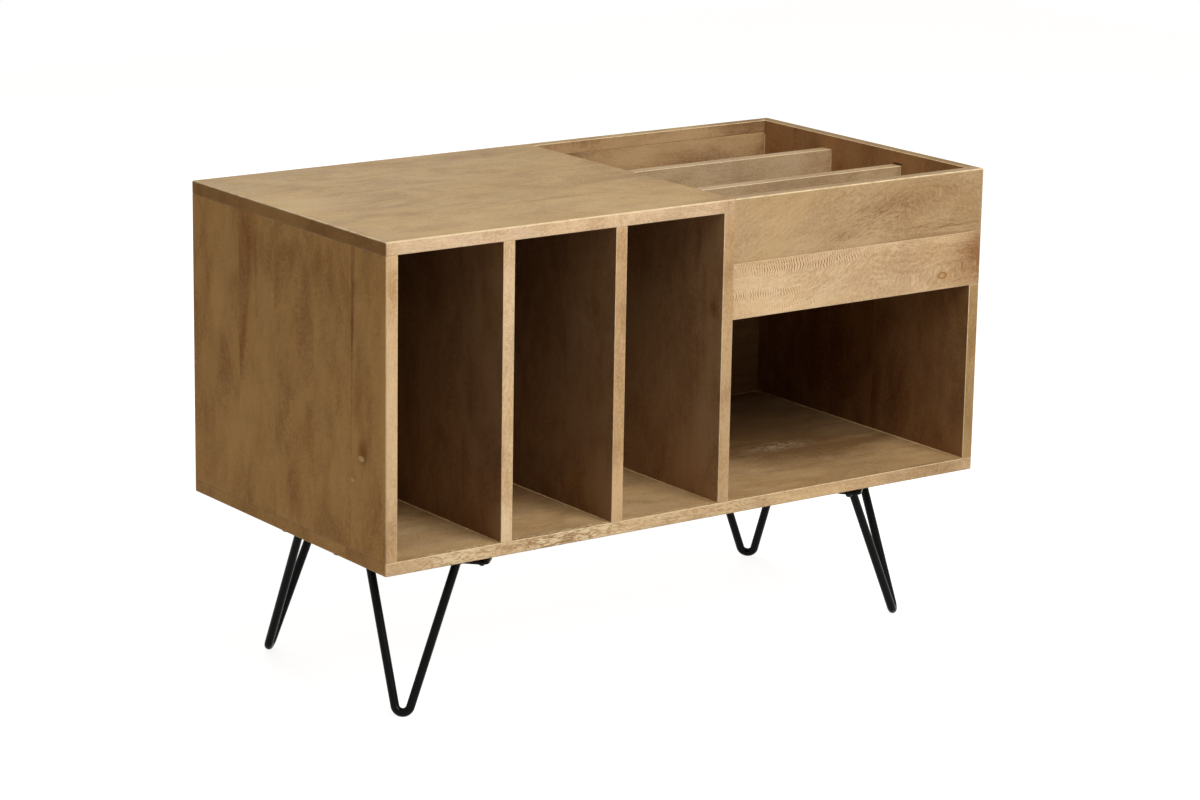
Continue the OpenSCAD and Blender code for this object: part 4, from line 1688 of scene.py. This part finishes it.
def bearing(azimuth, elevation):
    """The way from the stand to something seen at an azimuth and elevation from the front."""
    a, e = math.radians(azimuth), math.radians(elevation)
    return Vector((math.sin(a) * math.cos(e), -math.cos(a) * math.cos(e), math.sin(e)))


def soft_light(name, azimuth, elevation, distance, size, level, colour):
    """A square soft box that lights a surface facing it to this share of full light."""
    light = bpy.data.lights.new(name, "AREA")
    light.shape = "SQUARE"
    light.size = size
    light.energy = level * math.pi**2 * distance**2
    light.color = colour
    box = linked(name, light)
    box.location = CARCASS_MIDDLE + bearing(azimuth, elevation) * distance
    box.rotation_euler = (box.location - CARCASS_MIDDLE).to_track_quat("Z", "Y").to_euler()


def seen_directly(tree):
    """1 for rays from the camera and for those that mirror or pass to the surroundings."""
    rays = add(tree, "ShaderNodeLightPath").outputs
    either = {0: rays["Is Camera Ray"], 1: rays["Is Glossy Ray"]}
    mirrored = add(tree, MATH, either, operation="MAXIMUM")
    return add(tree, MATH, {0: mirrored, 1: rays["Is Transmission Ray"]}, operation="MAXIMUM")


class STAND_OT_stage(bpy.types.Operator):
    """Sets up the floor, the surroundings, the lights and the camera"""

    bl_idname = "stand.stage"
    bl_label = "Stage"

    def execute(self, context):
        scene = context.scene
        scene.view_settings.view_transform = "Standard"

        world = bpy.data.worlds.new("white_studio")
        world.use_nodes = True
        tree = world.node_tree
        tree.nodes.clear()
        shown = add(tree, "ShaderNodeBackground", {"Color": WHITE, "Strength": 1.0})
        filling = {"Color": rgba(FILL_COLOUR), "Strength": FILL_STRENGTH}
        fill = add(tree, "ShaderNodeBackground", filling)
        both = add(tree, "ShaderNodeMixShader", {0: seen_directly(tree), 1: fill, 2: shown})
        add(tree, "ShaderNodeOutputWorld", {"Surface": both})
        scene.world = world

        material, tree = new_material("matt_white_floor")
        matt = add(tree, "ShaderNodeBsdfDiffuse", {"Color": rgba([FLOOR_GREY] * 3)})
        shaded = add(tree, "ShaderNodeBsdfDiffuse", {"Color": rgba([SHADED_GREY] * 3)})
        lift = add(tree, "ShaderNodeEmission", {"Color": WHITE, "Strength": FLOOR_LIFT})
        lit = add(tree, "ShaderNodeAddShader", {0: shaded, 1: lift})
        both = add(tree, "ShaderNodeMixShader", {0: seen_directly(tree), 1: matt, 2: lit})
        add(tree, "ShaderNodeOutputMaterial", {"Surface": both})
        square = ((-1, -1), (1, -1), (1, 1), (-1, 1))
        corners = [(x * FLOOR_REACH, y * FLOOR_REACH, CAD_LOW.z) for x, y in square]
        mesh = plain_mesh("floor", corners, faces=[(0, 1, 2, 3)])
        mesh.materials.append(material)
        linked("floor", mesh)

        for name, light in LIGHTS.items():
            soft_light(name, *light)

        toward = -bearing(VIEW_AZIMUTH, VIEW_ELEVATION)
        level = toward.cross(Vector((0, 0, 1))).normalized()
        upright = level.cross(toward)
        roll = math.radians(VIEW_ROLL)
        right = level * math.cos(roll) + upright * math.sin(roll)
        up = upright * math.cos(roll) - level * math.sin(roll)
        camera = bpy.data.cameras.new("camera")
        camera.sensor_width = SENSOR_MM
        camera.lens = FOCAL_PIXELS / PICTURE_WIDTH * SENSOR_MM
        camera.shift_x = (PICTURE_WIDTH / 2 - AXIS_X) / PICTURE_WIDTH
        camera.shift_y = (AXIS_Y - PICTURE_HEIGHT / 2) / PICTURE_WIDTH
        camera.clip_end = VIEW_END
        viewer = linked("camera", camera)
        turned = Matrix((right, up, -toward)).transposed().to_4x4()
        place = CARCASS_MIDDLE - toward * VIEW_DISTANCE - right * VIEW_RIGHT - up * VIEW_UP
        viewer.matrix_world = Matrix.Translation(place) @ turned
        scene.camera = viewer
        return {"FINISHED"}


OPERATORS = (
    STAND_OT_top_and_bottom,
    STAND_OT_sides,
    STAND_OT_uprights,
    STAND_OT_back,
    STAND_OT_bin,
    STAND_OT_filler,
    STAND_OT_dowels,
    STAND_OT_leg_rods,
    STAND_OT_leg_plates,
    STAND_OT_leg_blocks,
    STAND_OT_leg_screws,
    STAND_OT_stage,
)


class STAND_PT_panel(bpy.types.Panel):
    """Lists the pieces of the stand"""

    bl_idname = "STAND_PT_panel"
    bl_label = "Record storage stand"
    bl_space_type = "VIEW_3D"
    bl_region_type = "UI"
    bl_category = "Stand"

    def draw(self, context):
        for kind in OPERATORS:
            self.layout.operator(kind.bl_idname)
        for group in settings_of(context.scene):
            for name in group.__annotations__:
                self.layout.prop(group, name)


CLASSES = (StandSizes, StandTones, *OPERATORS, STAND_PT_panel)


def register():
    for kind in CLASSES:
        bpy.utils.register_class(kind)
    bpy.types.Scene.stand_sizes = PointerProperty(type=StandSizes)
    bpy.types.Scene.stand_tones = PointerProperty(type=StandTones)


def unregister():
    del bpy.types.Scene.stand_tones
    del bpy.types.Scene.stand_sizes
    for kind in reversed(CLASSES):
        bpy.utils.unregister_class(kind)


def main():
    register()
    for kind in OPERATORS:
        group, name = kind.bl_idname.split(".")
        getattr(getattr(bpy.ops, group), name)()


if __name__ == "__main__":
    main()
